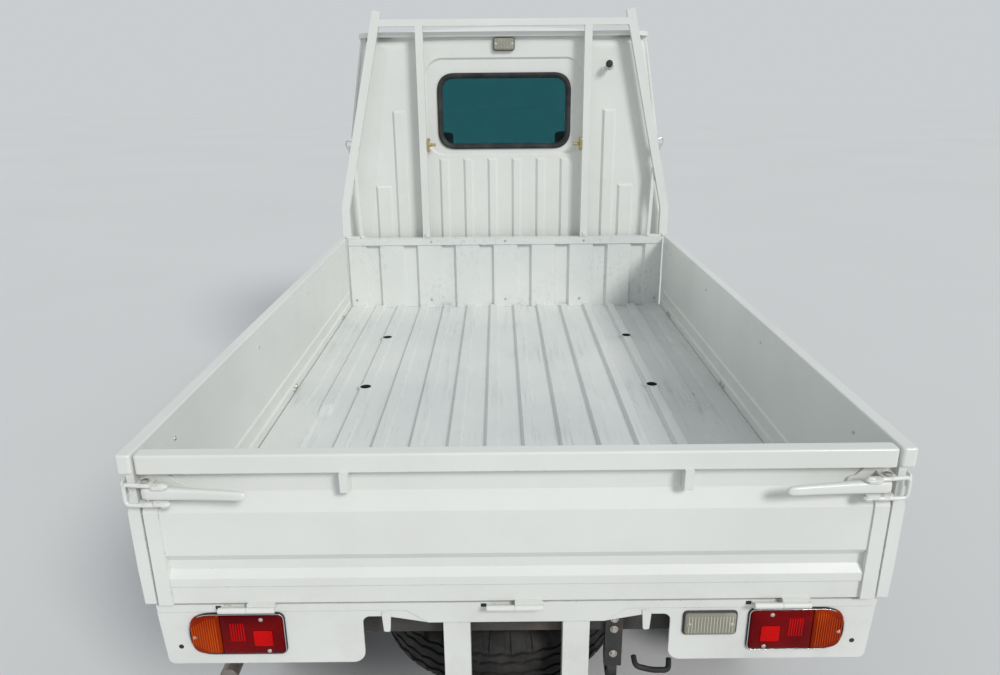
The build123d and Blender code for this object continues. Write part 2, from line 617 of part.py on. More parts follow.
def build_cab_front_fittings():
    """Bumper with its openings, headlamps and wipers."""
    half = HALF_WIDTH - 6
    end_y = DOOR_FRONT_Y - PANEL_GAP - 8
    section = [(-half, end_y), (-half, FRONT_Y + 62), (0, FRONT_Y), (half, FRONT_Y + 62), (half, end_y)]
    bumper = slab_z(section, BUMPER_LOW_Z, BUMPER_HIGH_Z, [8, 72, 2400, 72, 8])
    inner = [(-half + 26, end_y + 20), (-half + 26, FRONT_Y + 84), (0, FRONT_Y + 24),
             (half - 26, FRONT_Y + 84),
             (half - 26, end_y + 20)]
    bumper = bumper - slab_z(inner, BUMPER_LOW_Z - 5, BUMPER_HIGH_Z + 5, [5, 54, 2400, 54, 5])
    intake = slab_y([(-330, 400), (330, 400), (300, 462), (-300, 462)], FRONT_Y - 20, FRONT_Y + 90, 14)
    bumper = bumper - intake
    lamp_slot = slab_y([(430, 500), (580, 500), (580, 560), (430, 560)], FRONT_Y - 20, FRONT_Y + 110, 12)
    for slot in both_sides(lamp_slot):
        bumper = bumper - slot
    bumper = bumper - cab_form(-0.3)
    save("front_bumper", max(bumper.solids(), key=lambda s: s.volume))
    lens = headlamp_body(0) & cab_form(6)
    lens = lens & block(0, 700, NOSE_Y - 30, NOSE_Y + 84, 600, 900)
    save("headlamps", *both_sides(lens))

    wipers = []
    for x in WIPER_X:
        low, high = CAB_BELT_Z + 26, CAB_BELT_Z + 150
        pivot = (x, skin_y(x, low) - 14, low)
        tip = (x + WIPER_REACH, min(skin_y(x + WIPER_REACH, high), skin_y(x, high)) - 14, high)
        stub = rod_between((x, skin_y(x, low) + 12, low), (x, skin_y(x, low) - 20, low), 9)
        arm = (rod_between(pivot, tip, 5) + stub) - cab_form(0, True)
        wipers.append(max(arm.solids(), key=lambda s: s.volume))
    save("wipers", *wipers)


# Bed

def corrugated(ribs, low, high, slope, thickness, half):
    """Outline of a ribbed sheet: ribs as (centre, half width), seen along its ribs."""
    upper = [(-half, low)]
    for centre, rib in ribs:
        upper += [(centre - rib, low), (centre - rib + slope, high), (centre + rib - slope, high),
                  (centre + rib, low)]
    upper += [(half, low)]
    return upper + [(x, z - thickness) for x, z in reversed(upper)]


def rising_slab(points, low):
    """A raised patch of the floor: a plan outline whose sides slope in towards the top."""
    start = Plane.XY.offset(low - 1) * outline(points, 12)
    return extrude(start, FLOOR_RIB_HEIGHT + 1, taper=FLOOR_RIB_TAPER)


def build_bed_floor():
    """Ribbed floor with rope holes, side bands, crossmembers and hinge seats."""
    low, high = BED_FLOOR_Z - FLOOR_RIB_HEIGHT, BED_FLOOR_Z
    ribs = [((k + 0.5) * FLOOR_RIB_PITCH, FLOOR_RIB_WIDTH / 2) for k in range(-5, 5)]
    front, rear = HEADBOARD_Y - HEADBOARD_THICKNESS, TAILGATE_INNER_Y - PANEL_GAP
    half = SIDE_GATE_INNER_X - 6
    deck_front = HEADBOARD_Y + JOINT_GAP
    deck = slab_y(corrugated(ribs, low, high, FLOOR_RIB_SLOPE, SHEET, half), deck_front, rear)
    deck = deck + block(-half, half, front, deck_front, low - SHEET, low)
    short_rib = rising_slab([(SHORT_RIB_X - 23, deck_front - 20), (SHORT_RIB_X + 23, deck_front - 20),
                             (SHORT_RIB_X + 23, SHORT_RIB_END_Y),
                             (SHORT_RIB_X - 23, SHORT_RIB_END_Y)], low)
    band = rising_slab([(BAND_X, deck_front - 20), (half + 20, deck_front - 20), (half + 20, rear + 20),
                        (BAND_WIDE_X, rear + 20), (BAND_WIDE_X, BAND_JOG_Y + 90),
                        (BAND_X, BAND_JOG_Y)], low)
    trim = block(0, half, deck_front, rear, low - 1, high)
    for shape in (short_rib, band):
        for side in both_sides(shape & trim):
            deck = deck + side
    for x in (-BED_HOLE_X, BED_HOLE_X):
        for y in (TAILGATE_Y - 1035, TAILGATE_Y - 1530):
            deck = deck + rod_z(low - SHEET, high, x, y, BED_HOLE_RADIUS + 5)
            deck = deck - rod_z(low - 20, high + 10, x, y, BED_HOLE_RADIUS)
    for edge in both_sides(block(half - 22, half, front, rear, BED_EDGE_Z, low)):
        deck = deck + edge
    for edge in both_sides(block(half - 60, half - 20, front, rear, BED_EDGE_Z, BED_EDGE_Z + 4)):
        deck = deck + edge
    for y in CROSSMEMBER_Y:
        deck = deck + block(-half + 10, half - 10, y - 22, y + 22, low - 52, low - SHEET + 1)
    for y in SIDE_HINGE_Y:
        seat = rod_y(*fixed_half(y), SIDE_HINGE_X, GATE_HINGE_Z, HINGE_RADIUS)
        seat = seat + block(half - 3, SIDE_HINGE_X, *fixed_half(y), GATE_HINGE_Z - 10, GATE_HINGE_Z - 5)
        for side in both_sides(seat):
            deck = deck + side
    save("bed_floor", deck)


def build_headboard():
    """Corrugated wall at the front of the bed."""
    half = SIDE_GATE_INNER_X - 4
    pitch, recess, depth = HEADBOARD_RIB_PITCH, HEADBOARD_RECESS_WIDTH, 14
    back = HEADBOARD_Y - HEADBOARD_THICKNESS + 6
    count = 8
    front_line = [(-half, HEADBOARD_Y)]
    for k in range(count):
        centre = (k - (count - 1) / 2) * pitch
        front_line += [(centre - recess / 2, HEADBOARD_Y), (centre - recess / 2 + 8, HEADBOARD_Y - depth),
                       (centre + recess / 2 - 8, HEADBOARD_Y - depth), (centre + recess / 2, HEADBOARD_Y)]
    front_line += [(half, HEADBOARD_Y)]
    sheet = front_line + [(x, y - 5) for x, y in reversed(front_line)]
    foot_z = BED_FLOOR_Z - FLOOR_RIB_HEIGHT + JOINT_GAP
    panel = slab_z(sheet, foot_z, GATE_TOP_Z - 30)
    rail = block(-half, half, back - 6, HEADBOARD_Y + 3, GATE_TOP_Z - 31, GATE_TOP_Z - 2)
    foot = block(-half, half, back - 6, HEADBOARD_Y - depth - 4, foot_z, BED_FLOOR_Z + 34)
    panel = panel + rail + foot
    for end in both_sides(block(half - 30, half, back - 6, HEADBOARD_Y, foot_z, GATE_TOP_Z - 31)):
        panel = panel + end
    save("headboard", panel)


def post_strip(points, width):
    """A bent flat strip of one width about a centre line, as (x, z) points."""
    left, right = [], []
    for k, (x, z) in enumerate(points):
        ahead = points[min(k + 1, len(points) - 1)]
        behind = points[max(k - 1, 0)]
        run = Vector(ahead[0] - behind[0], ahead[1] - behind[1]).normalized()
        left.append((x - run.Y * width / 2, z + run.X * width / 2))
        right.append((x + run.Y * width / 2, z - run.X * width / 2))
    return left + list(reversed(right))


def build_guard_frame():
    """Bent posts, inner posts, crossbar, braces and clips behind the cab."""
    y0, y1 = HEADBOARD_Y - HEADBOARD_THICKNESS - 4, HEADBOARD_Y - PANEL_GAP
    base = GATE_TOP_Z - 2
    foot_x, top_x, inner_x = 664, 490, 330
    post = slab_y(post_strip([(foot_x, base), (foot_x, GUARD_BEND_Z), (top_x, GUARD_TOP_Z)], POST_SIZE),
                  y0, y1)
    post = post + block(foot_x - 76, foot_x + POST_SIZE / 2, y0 + 3, y1, base, base + 7)
    brace = slab_y(post_strip([(foot_x - 60, base + 3), (foot_x - 52, 1215)], 14), y0 + 8, y1 - 8)
    bend_x = foot_x - (1300 - GUARD_BEND_Z) * (foot_x - top_x) / (GUARD_TOP_Z - GUARD_BEND_Z)
    clip = block(bend_x, CAB_HALF_BELT - 60, y0 - 4, y0 + 4, 1290, 1306)
    inner = block(inner_x - 15, inner_x + 15, y0, y1, base, GUARD_BAR_Z)
    clip_inner = rod_x(inner_x - 48, inner_x, y0 + 6, 1314, 5)
    clip_inner = clip_inner + block(inner_x - 22, inner_x - 14, y0 - 6, y1 - 8, 1292, 1336)
    frame = None
    for piece in (post, brace, inner, clip, clip_inner):
        for side in both_sides(piece):
            frame = side if frame is None else frame + side
    bar = block(-top_x - 6, top_x + 6, y0, y1, GUARD_BAR_Z - 13, GUARD_BAR_Z + 13)
    save("guard_frame", frame + bar)


def gate_profile(face, inner, sign=1):
    """Cross-section of a drop gate, (across, z), face outwards: rail, upper band, panel, rib, skirt."""
    low, top = GATE_BOTTOM_Z, GATE_TOP_Z
    # how far each step lies inside the face, and its height
    steps = [(9, low), (9, 664), (6, 666), (6, 683), (16, 699), (16, 718), (6, 733), (6, 821), (20, 857),
             (20, top - GATE_RAIL_HEIGHT + 5)]
    inner_face = [(sign * inner, top - GATE_RAIL_HEIGHT + 5), (sign * inner, low)]
    return [(sign * (face - depth), z) for depth, z in steps] + inner_face


def rail_bar(x0, x1, y0, y1):
    """A gate's top rail, its corners and upper edges rounded."""
    bar = slab_z([(x0, y0), (x1, y0), (x1, y1), (x0, y1)], GATE_TOP_Z - GATE_RAIL_HEIGHT, GATE_TOP_Z, 7)
    return fillet(bar.edges().group_by(Axis.Z)[-1], 4)


def gate_half(along):
    """Span of the gate's half of a hinge."""
    return along - HINGE_HALF_LENGTH, along - JOINT_GAP / 2


def fixed_half(along):
    """Span of the truck's half of a hinge."""
    return along + JOINT_GAP / 2, along + HINGE_HALF_LENGTH


def hinge_set(axis_across, positions, across_is_x, gate_side):
    """Barrels about a gate's hinge line; the gate's leaf on one half, the bed's on the other."""
    found = None
    for along in positions:
        start, stop = gate_half(along) if gate_side else fixed_half(along)
        if across_is_x:
            barrel = rod_y(start, stop, axis_across, GATE_HINGE_Z, HINGE_RADIUS)
        else:
            barrel = rod_x(start, stop, axis_across, GATE_HINGE_Z, HINGE_RADIUS)
        found = barrel if found is None else found + barrel
    return found


def build_side_gates():
    """Drop sides with rails, end caps, inner strips, hinge leaves and latch levers."""
    front, rear = HEADBOARD_Y - 1, TAILGATE_INNER_Y - PANEL_GAP
    face, inner = HALF_WIDTH, SIDE_GATE_INNER_X + 2
    gate = slab_y(gate_profile(face, inner), front, rear)
    gate = gate + rail_bar(inner, face, front, TAILGATE_Y - 2)
    cap_low = GATE_BOTTOM_Z + 2
    end_cap = slab_y([(inner, cap_low), (face - 7, cap_low), (face - 5, 700), (face - 5, 821),
                      (face - 14, 857),
                      (face - 14, GATE_TOP_Z - 30), (inner, GATE_TOP_Z - 30)], rear - 1, TAILGATE_Y - 6)
    gate = gate + end_cap
    for low, high, proud in ((640, 674, 6), (700, 718, 4)):
        strip = slab_y([(inner + 1, low), (inner - proud, low + 4), (inner - proud, high - 6),
                        (inner + 1, high)],
                       front + 30, rear - 20)
        gate = gate + strip
    leaf = hinge_set(SIDE_HINGE_X, SIDE_HINGE_Y, True, True)
    for y in SIDE_HINGE_Y:
        leaf = leaf + block(SIDE_HINGE_X - 7, SIDE_HINGE_X - 3, *gate_half(y), GATE_HINGE_Z,
                            GATE_BOTTOM_Z + 6)
    gate = gate + leaf
    latch_y = front + 34
    lever = block(face - 21, face + 2, latch_y, latch_y + 18, 846, 884)
    lever = lever + rod_between((face - 6, latch_y + 10, 866), (face - 2, latch_y + 175, 860), 10)
    gate = gate + lever
    save("side_gate_left", gate)
    save("side_gate_right", other_side(gate))


def build_tailgate():
    """Tailgate with its flanges and tabs, and the corner latches."""
    half = HALF_WIDTH - 33
    profile = gate_profile(TAILGATE_Y, TAILGATE_INNER_Y)
    gate = slab_x(profile, -half, half) + rail_bar(-half, half, TAILGATE_INNER_Y, TAILGATE_Y)
    flange = slab_x([(TAILGATE_Y - 3, GATE_BOTTOM_Z), (TAILGATE_Y - 3, 823), (TAILGATE_Y - 18, 857),
                     (TAILGATE_INNER_Y + 2, 857), (TAILGATE_INNER_Y + 2,
                                                   GATE_BOTTOM_Z)], TAILGATE_FLANGE_X, half)
    for side in both_sides(flange):
        gate = gate + side
    gate = gate + hinge_set(TAIL_HINGE_Y, TAIL_HINGE_X, False, True)
    for x in TAIL_HINGE_X:
        gate = gate + block(*gate_half(x), TAIL_HINGE_Y - 13, TAIL_HINGE_Y - 3, GATE_HINGE_Z,
                            GATE_BOTTOM_Z + 1.5)
    tab = slab_x([(TAILGATE_Y - 21, 902), (TAILGATE_Y + 6, 902), (TAILGATE_Y + 4, 864),
                  (TAILGATE_Y - 21, 858)], 292, 308)
    for side in both_sides(tab):
        gate = gate + side
    save("tailgate", gate)

    pivot_x = half - 14
    base_y = TAILGATE_Y - 20 + JOINT_GAP
    plate = block(pivot_x - 34, pivot_x + 10, base_y, base_y + 5, 859, 899)
    lever = rod_between((pivot_x - 8, base_y + 22, 866), (pivot_x - 186, REAR_Y - 12, 870), 12)
    lug = block(pivot_x - 20, pivot_x + 4, base_y + 4, base_y + 34, 852, 880)
    hook_y = TAILGATE_Y + 6
    bail = bent_rod([(pivot_x - 30, hook_y, 884), (HALF_WIDTH - 12, hook_y, 884),
                     (HALF_WIDTH - 12, hook_y, 846),
                     (pivot_x - 30, hook_y, 846)], 3.5, 8)
    pin = rod_z(842, 888, pivot_x - 30, hook_y - 1, 6)
    pin = pin + block(pivot_x - 36, pivot_x - 24, base_y + 2, hook_y + 2, 861, 888)
    latch = plate + lug + lever + bail + pin
    save("tailgate_latches", *both_sides(latch))


def build_tail_panel():
    """Stepped plate under the tailgate with lamp openings and rope-hook tongues."""
    half, low, mid = SIDE_GATE_INNER_X + 11, TAIL_PANEL_BOTTOM_Z, 575
    top = GATE_HINGE_Z + 1
    shape = [(-half, top), (-half + 8, low), (-290, low), (-290, 590), (-245, 590), (-165, mid),
             (165, mid), (245, 590), (290, 590), (290, low), (half - 8, low), (half, top)]
    panel = slab_y(shape, TAIL_PANEL_Y - SHEET, TAIL_PANEL_Y,
                   [6, 13, 24, 14, 20, 20, 20, 20, 14, 24, 13, 6])
    overlay = [(-half + 2, top), (-half + 3, 604), (-208, 604), (-167, mid + 1), (167, mid + 1),
               (208, 604), (half - 3, 604),
               (half - 2, top)]
    panel = panel + slab_y(overlay, TAIL_PANEL_Y - 1, TAIL_PANEL_Y + OVERLAY_PROUD)
    for hole in both_sides(tail_lamp_body(JOINT_GAP)):
        panel = panel - hole
    panel = panel - reversing_lamp_body(JOINT_GAP)
    lip = block(-half + 4, half - 4, TAILGATE_INNER_Y - PANEL_GAP, TAIL_PANEL_Y - SHEET + 1, top - 9,
                top - 5)
    panel = panel + lip
    for x in TAIL_HINGE_X:
        panel = panel + rod_x(*fixed_half(x), TAIL_HINGE_Y, GATE_HINGE_Z, HINGE_RADIUS)
        panel = panel + block(*fixed_half(x), TAIL_PANEL_Y - 1, TAIL_HINGE_Y - 2, GATE_HINGE_Z - 9,
                              GATE_HINGE_Z - 2)
    tongue = slab_y([(236, 600), (239, 556), (251, 556), (254, 600)], TAIL_PANEL_Y - 3, TAIL_PANEL_Y + 2,
                    [1, 4, 4, 1])
    for hook in both_sides(tongue):
        panel = panel + hook
    save("tail_panel", panel)


def tail_lamp_body(grow):
    """Combination lamp: square inner end, round outer end; on the left."""
    low, high = TAIL_LAMP_Z[0] - grow, TAIL_LAMP_Z[1] + grow
    inner, outer = TAIL_LAMP_X[0] - grow, TAIL_LAMP_X[1] + grow
    points = [(inner, low), (outer, low), (outer, high), (inner, high)]
    return slab_y(points, TAIL_PANEL_Y - TAIL_LAMP_DEPTH, TAIL_PANEL_Y + LAMP_PROUD, [14, 44, 44, 14])


def reversing_lamp_body(grow):
    """Small box lamp beside the right combination lamp."""
    low, high = REVERSING_LAMP_Z[0] - grow, REVERSING_LAMP_Z[1] + grow
    outer, inner = REVERSING_LAMP_X[0] - grow, REVERSING_LAMP_X[1] + grow
    points = [(outer, low), (inner, low), (inner, high), (outer, high)]
    return slab_y(points, TAIL_PANEL_Y - REVERSING_LAMP_DEPTH, TAIL_PANEL_Y + LAMP_PROUD, 8)


def build_lamps():
    save("tail_lamps", *both_sides(tail_lamp_body(0)))
    low, high = CARGO_LAMP_Z
    corners = [(-CARGO_LAMP_HALF, low), (CARGO_LAMP_HALF, low), (CARGO_LAMP_HALF, high),
               (-CARGO_LAMP_HALF, high)]
    cargo = slab_y(corners, CAB_REAR_Y, CAB_REAR_Y + CARGO_LAMP_PROUD, 12)
    save("clear_lamps", reversing_lamp_body(0), cargo)


def build_rear_stays():
    """Two uprights under the tail panel and the bar across their feet."""
    front, rear = TAIL_PANEL_Y - SHEET - STAY_DEPTH, TAIL_PANEL_Y - SHEET
    low, high = STAY_BAR_Z
    corners = [(-STAY_BAR_HALF, low), (STAY_BAR_HALF, low), (STAY_BAR_HALF, high), (-STAY_BAR_HALF, high)]
    stays = slab_y(corners, front, rear, 8)
    for side in both_sides(block(*STAY_X, front, rear, *STAY_Z)):
        stays = stays + side
    save("rear_stays", stays)


def build_tow_hooks():
    """A ring under the front bumper and a bracket with an eye under the tail panel."""
    front_y = FRONT_Y + 150
    front = rod_z(360, 378, TOW_X, front_y, 34) - rod_z(350, 390, TOW_X, front_y, TOW_EYE_RADIUS)
    front = front + block(TOW_X - 12, TOW_X + 12, front_y + 28, FRONT_Y + 340, 360, 378)
    y0, y1 = TAIL_PANEL_Y - 44, TAIL_PANEL_Y - 34
    rear = block(-208, -174, y0, y1, 440, 565)
    ring = rod_x(-200, -182, y0 - 24, 424, 34) - rod_x(-210, -170, y0 - 24, 424, TOW_EYE_RADIUS)
    save("tow_hooks", front, rear + ring)


# Chassis

def build_frame_rails():
    """Kicked-up ladder frame with cross tubes, mounts and the spare wheel's carrier."""
    top_rear, top_front = BED_RAIL_LOW_Z, 470
    rise = CAB_REAR_Y - 45
    rail = [(FRONT_Y + 190, top_front - 60), (FRONT_Y + 190, top_front), (rise - 90, top_front),
            (rise, top_front + 40), (REAR_AXLE_Y - 420, top_front + 50), (REAR_AXLE_Y - 300, top_rear),
            (TAIL_PANEL_Y - 34, top_rear), (TAIL_PANEL_Y - 34, top_rear - 70),
            (REAR_AXLE_Y - 270, top_rear - 80), (REAR_AXLE_Y - 400, top_front + 50 - RAIL_HEIGHT),
            (rise + 30, top_front + 40 - RAIL_HEIGHT), (rise - 70, top_front - RAIL_HEIGHT),
            (FRONT_Y + 300, top_front - RAIL_HEIGHT)]
    frame = None
    for side in both_sides(slab_x(rail, RAIL_X - RAIL_WIDTH / 2, RAIL_X + RAIL_WIDTH / 2)):
        frame = side if frame is None else frame + side
    for y, z in FRAME_CROSS:
        frame = frame + block(-RAIL_X, RAIL_X, y - 26, y + 26, z - 26, z + 26)
    for y in CROSSMEMBER_Y:
        if y < REAR_AXLE_Y - 420:
            for post in both_sides(block(RAIL_X - 20, RAIL_X + 20, y - 20, y + 20, top_front,
                                         BED_RAIL_LOW_Z)):
                frame = frame + post
    for y in CAB_MOUNT_Y:
        for mount in both_sides(block(RAIL_X - 22, RAIL_X + 22, y - 22, y + 22, top_front - 1,
                                      CAB_FLOOR_Z - CAB_FLOOR_THICKNESS)):
            frame = frame + mount
    carrier = block(-RAIL_X, RAIL_X, SPARE_Y - 20, SPARE_Y + 20, 515, 545)
    cap_top = SPARE_Z - HUB_CAP_INNER + JOINT_GAP
    frame = frame + carrier + rod_z(cap_top, 520, SPARE_X, SPARE_Y, 12)
    save("frame_rails", frame)


def build_running_gear():
    """Suspension, axle, springs, drive line, engine, tank, battery box and exhaust."""
    arm_z = HUB_Z - 96
    front = block(-RAIL_X - 10, RAIL_X + 10, FRONT_AXLE_Y - 45, FRONT_AXLE_Y + 45, arm_z - 12, arm_z + 50)
    for tower in both_sides(block(RAIL_X - 24, RAIL_X + 10, FRONT_AXLE_Y - 40, FRONT_AXLE_Y + 40,
                                  arm_z + 40, 470 - RAIL_HEIGHT)):
        front = front + tower
    arm = slab_z([(RAIL_X, FRONT_AXLE_Y - 40), (KINGPIN_X + 10, FRONT_AXLE_Y - 22),
                  (KINGPIN_X + 24, FRONT_AXLE_Y),
                  (KINGPIN_X + 10, FRONT_AXLE_Y + 22), (RAIL_X,
                                                        FRONT_AXLE_Y + 60)], arm_z - 10, arm_z + 10)
    for side in both_sides(arm):
        front = front + side
    strut_x = KINGPIN_X - 46
    strut = rod_z(HUB_Z + 132 + JOINT_GAP, 598, strut_x, FRONT_AXLE_Y, 22)
    strut = strut + rod_z(470, 590, strut_x, FRONT_AXLE_Y, 34)
    seat = block(strut_x - 20, KINGPIN_X + 20, FRONT_AXLE_Y - 20, FRONT_AXLE_Y + 20,
                 HUB_Z + 110 + JOINT_GAP, HUB_Z + 134)
    mount = block(ARCH_INNER_X + 16, strut_x + 30, FRONT_AXLE_Y - 30, FRONT_AXLE_Y + 30, 574, 594)
    for side in both_sides(strut + seat + mount):
        front = front + side
    save("front_suspension", front)

    knuckle = rod_z(arm_z + 10 + JOINT_GAP, HUB_Z + 110, KINGPIN_X, FRONT_AXLE_Y, 22)
    knuckle = knuckle + block(KINGPIN_X - 24, KINGPIN_X + 24, FRONT_AXLE_Y - 50, FRONT_AXLE_Y + 50,
                              HUB_Z - 56, HUB_Z + 56)
    knuckle = knuckle + rod_x(KINGPIN_X, KINGPIN_X + 40, FRONT_AXLE_Y, HUB_Z, 78)
    knuckle = knuckle + rod_x(KINGPIN_X, WHEEL_X + 38, FRONT_AXLE_Y, HUB_Z, SPINDLE_RADIUS)
    save("knuckle_left", knuckle)
    save("knuckle_right", other_side(knuckle))

    axle = rod_x(-WHEEL_X + 40, WHEEL_X - 40, REAR_AXLE_Y, HUB_Z, 38)
    axle = axle + Pos(0, REAR_AXLE_Y, HUB_Z) * Sphere(112)
    axle = axle + rod_y(REAR_AXLE_Y - 190, REAR_AXLE_Y, 0, HUB_Z, 44)
    for side in both_sides(rod_x(WHEEL_X - 82, WHEEL_X - 36, REAR_AXLE_Y, HUB_Z, 100)):
        axle = axle + side
    for side in both_sides(rod_x(WHEEL_X - 40, WHEEL_X + 38, REAR_AXLE_Y, HUB_Z, SPINDLE_RADIUS)):
        axle = axle + side
    save("rear_axle", axle)

    springs = []
    for x in (-SPRING_X, SPRING_X):
        leaf_top = HUB_Z + 38 + JOINT_GAP
        pack = None
        for k, reach in enumerate((470, 360, 250)):
            z = leaf_top + 9 * (3 - k)
            leaf = slab_x([(REAR_AXLE_Y - reach, z + 40 - 12 * k), (REAR_AXLE_Y, z - 9),
                           (REAR_AXLE_Y + reach, z + 40 - 12 * k), (REAR_AXLE_Y + reach, z + 49 - 12 * k),
                           (REAR_AXLE_Y, z), (REAR_AXLE_Y - reach, z + 49 - 12 * k)], x - 25, x + 25)
            pack = leaf if pack is None else pack + leaf
        pack = pack + block(x - 32, x + 32, REAR_AXLE_Y - 50, REAR_AXLE_Y + 50, leaf_top, leaf_top + 34)
        front_eye = rod_x(x - 28, x + 28, REAR_AXLE_Y - 470, leaf_top + 70, 18)
        hanger = block(x - 28, x + 28, REAR_AXLE_Y - 488, REAR_AXLE_Y - 452, leaf_top + 70, 440)
        rear_eye = rod_x(x - 28, x + 28, REAR_AXLE_Y + 470, leaf_top + 70, 18)
        shackle = block(x - 28, x + 28, REAR_AXLE_Y + 460, REAR_AXLE_Y + 482, leaf_top + 70,
                        BED_RAIL_LOW_Z - 74)
        springs.append(pack + front_eye + hanger + rear_eye + shackle)
    save("leaf_springs", *springs)

    shaft = rod_between((0, ENGINE_REAR_Y + 2.8, 360), (0, REAR_AXLE_Y - 192.8, HUB_Z), 32)
    save("propshaft", shaft)
    inside, outside = RAIL_X - RAIL_WIDTH / 2 - JOINT_GAP, RAIL_X + RAIL_WIDTH / 2 + JOINT_GAP
    engine = block(-190, 190, ENGINE_REAR_Y - 490, ENGINE_REAR_Y, 300, 655)
    for y in (ENGINE_REAR_Y - 400, ENGINE_REAR_Y - 80):
        engine = engine + block(-inside, inside, y - 25, y + 25, 400, 440)
    save("engine_block", engine)
    save("fuel_tank", slab_z([(-outside, TANK_Y - 250), (-620, TANK_Y - 250), (-620, TANK_Y + 250),
                              (-outside, TANK_Y + 250)],
                            285, 500, [5, 40, 40, 5]))
    battery = block(outside, 600, CAB_REAR_Y + 95, CAB_REAR_Y + 335, 330, 500)
    save("battery_box", battery)
    muffler_end = REAR_AXLE_Y - 422
    muffler = rod_y(muffler_end - 420, muffler_end, 205, 330, 70)
    route = [(205, muffler_end - 10, 330), (215, muffler_end + 60, 335), (385, muffler_end + 210, 410),
             (385, REAR_AXLE_Y + 498, 440), (562, REAR_AXLE_Y + 578, 450), (562, TAIL_PANEL_Y - 8, 446)]
    hanger = block(255, inside, muffler_end - 300, muffler_end - 270, 350, 450)
    down_pipe = rod_y(CAB_REAR_Y - 5, muffler_end - 410, 205, 330, 20)
    save("exhaust", muffler + hanger + down_pipe + bent_rod(route, 17, 40))


def wheel_tyre(x, y):
    """A commercial tyre turned about its axle, beads seated between the rim's flanges."""
    r, w, bead = TYRE_DIAMETER / 2, TYRE_WIDTH / 2, RIM_DIAMETER / 2 + JOINT_GAP
    seat = RIM_WIDTH / 2 - JOINT_GAP
    half = [(bead, -seat), (bead + 10, -seat), (bead + 18, -w + 5), (r - 62, -w), (r - 22, -w + 7),
            (r - 5, -w + 22), (r, -w + 34)]
    points = half + [(rad, -across) for rad, across in reversed(half)]
    tyre = revolve(outline([(across, rad) for rad, across in points]), Axis.X, 360)
    return Pos(x, y, HUB_Z) * tyre


def wheel_rim(x, y):
    """Pressed steel rim with a dished disc and hand holes; the outside faces +X."""
    r, w = RIM_DIAMETER / 2, RIM_WIDTH / 2
    bore = SPINDLE_RADIUS + SPINDLE_CLEARANCE
    section = [(-w - 6, r + 8), (-w, r + 8), (-w, r - 4), (-w + 30, r - 10), (-w + 34, r - 22),
               (w - 34, r - 22), (w - 30, r - 10), (w, r - 4), (w, r + 8), (w + 6, r + 8), (w + 6, r - 10),
               (w - 24, r - 16), (w - 28, r - 28), (22, r - 28), (26, r - 46), (44, 84), (44, 66),
               (30, 58), (30, bore), (22, bore), (22, 60), (36, 70), (36, 80), (18, r - 50),
               (10, r - 28), (-w + 28, r - 28), (-w + 24, r - 16), (-w - 6, r - 10)]
    rim = revolve(outline(section), Axis.X, 360)
    for k in range(HAND_HOLES):
        angle = radians(360 / HAND_HOLES * k)
        rim = rim - rod_x(0, 70, (r - 50) * cos(angle), (r - 50) * sin(angle), 11)
    cap_section = [(HUB_CAP_INNER, 0), (58, 0), (58, 20), (50, 34), (30, 34), (30, 31),
                   (HUB_CAP_INNER, 31)]
    cap = revolve(outline(cap_section), Axis.X, 360)
    rim = rim + cap
    for k in range(WHEEL_NUTS):
        angle = radians(360 / WHEEL_NUTS * (k + 0.5))
        rim = rim + rod_x(32, 50, 50 * cos(angle), 50 * sin(angle), 10)
    return Pos(x, y, HUB_Z) * rim


def build_wheels():
    """Four tyres and rims; the right ones mirror the left."""
    for name, y in (("front", FRONT_AXLE_Y), ("rear", REAR_AXLE_Y)):
        tyre = wheel_tyre(WHEEL_X, y)
        rim = wheel_rim(WHEEL_X, y)
        save(f"tyre_{name}_left", tyre)
        save(f"rim_{name}_left", rim)
        save(f"tyre_{name}_right", other_side(tyre))
        save(f"rim_{name}_right", other_side(rim))


def build_spare():
    """The same wheel lying under the bed."""
    spot = Pos(SPARE_X, SPARE_Y, SPARE_Z) * Rot(0, 90, 0) * Pos(-WHEEL_X, 0, -HUB_Z)
    save("spare_tyre", spot * wheel_tyre(WHEEL_X, 0))
    rim = spot * wheel_rim(WHEEL_X, 0)
    save("spare_rim", rim)


def build_mud_guards():
    """Flaps behind the rear wheels."""
    guards = []
    for side in (1, -1):
        flap = block(side * 540, side * 655, REAR_AXLE_Y + 300, REAR_AXLE_Y + 304, 190, BED_EDGE_Z)
        guards.append(flap)
    save("mud_guards", *guards)


os.makedirs("parts", exist_ok=True)
build_cab()
build_cab_floor()
build_interior()
build_cab_front_fittings()
build_bed_floor()
build_headboard()
build_guard_frame()
build_side_gates()
build_tailgate()
build_tail_panel()
build_lamps()
build_rear_stays()
build_tow_hooks()
build_frame_rails()
build_running_gear()
build_wheels()
build_spare()
build_mud_guards()
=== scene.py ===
"""A small Japanese flatbed truck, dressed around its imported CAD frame.

Metres in the row frame: the rear is +Y, the left is +X.
"""

import json
from math import atan2, cos, hypot, pi, radians, sin

import bmesh
import bpy
from mathutils import Matrix, Vector
from mathutils.bvhtree import BVHTree


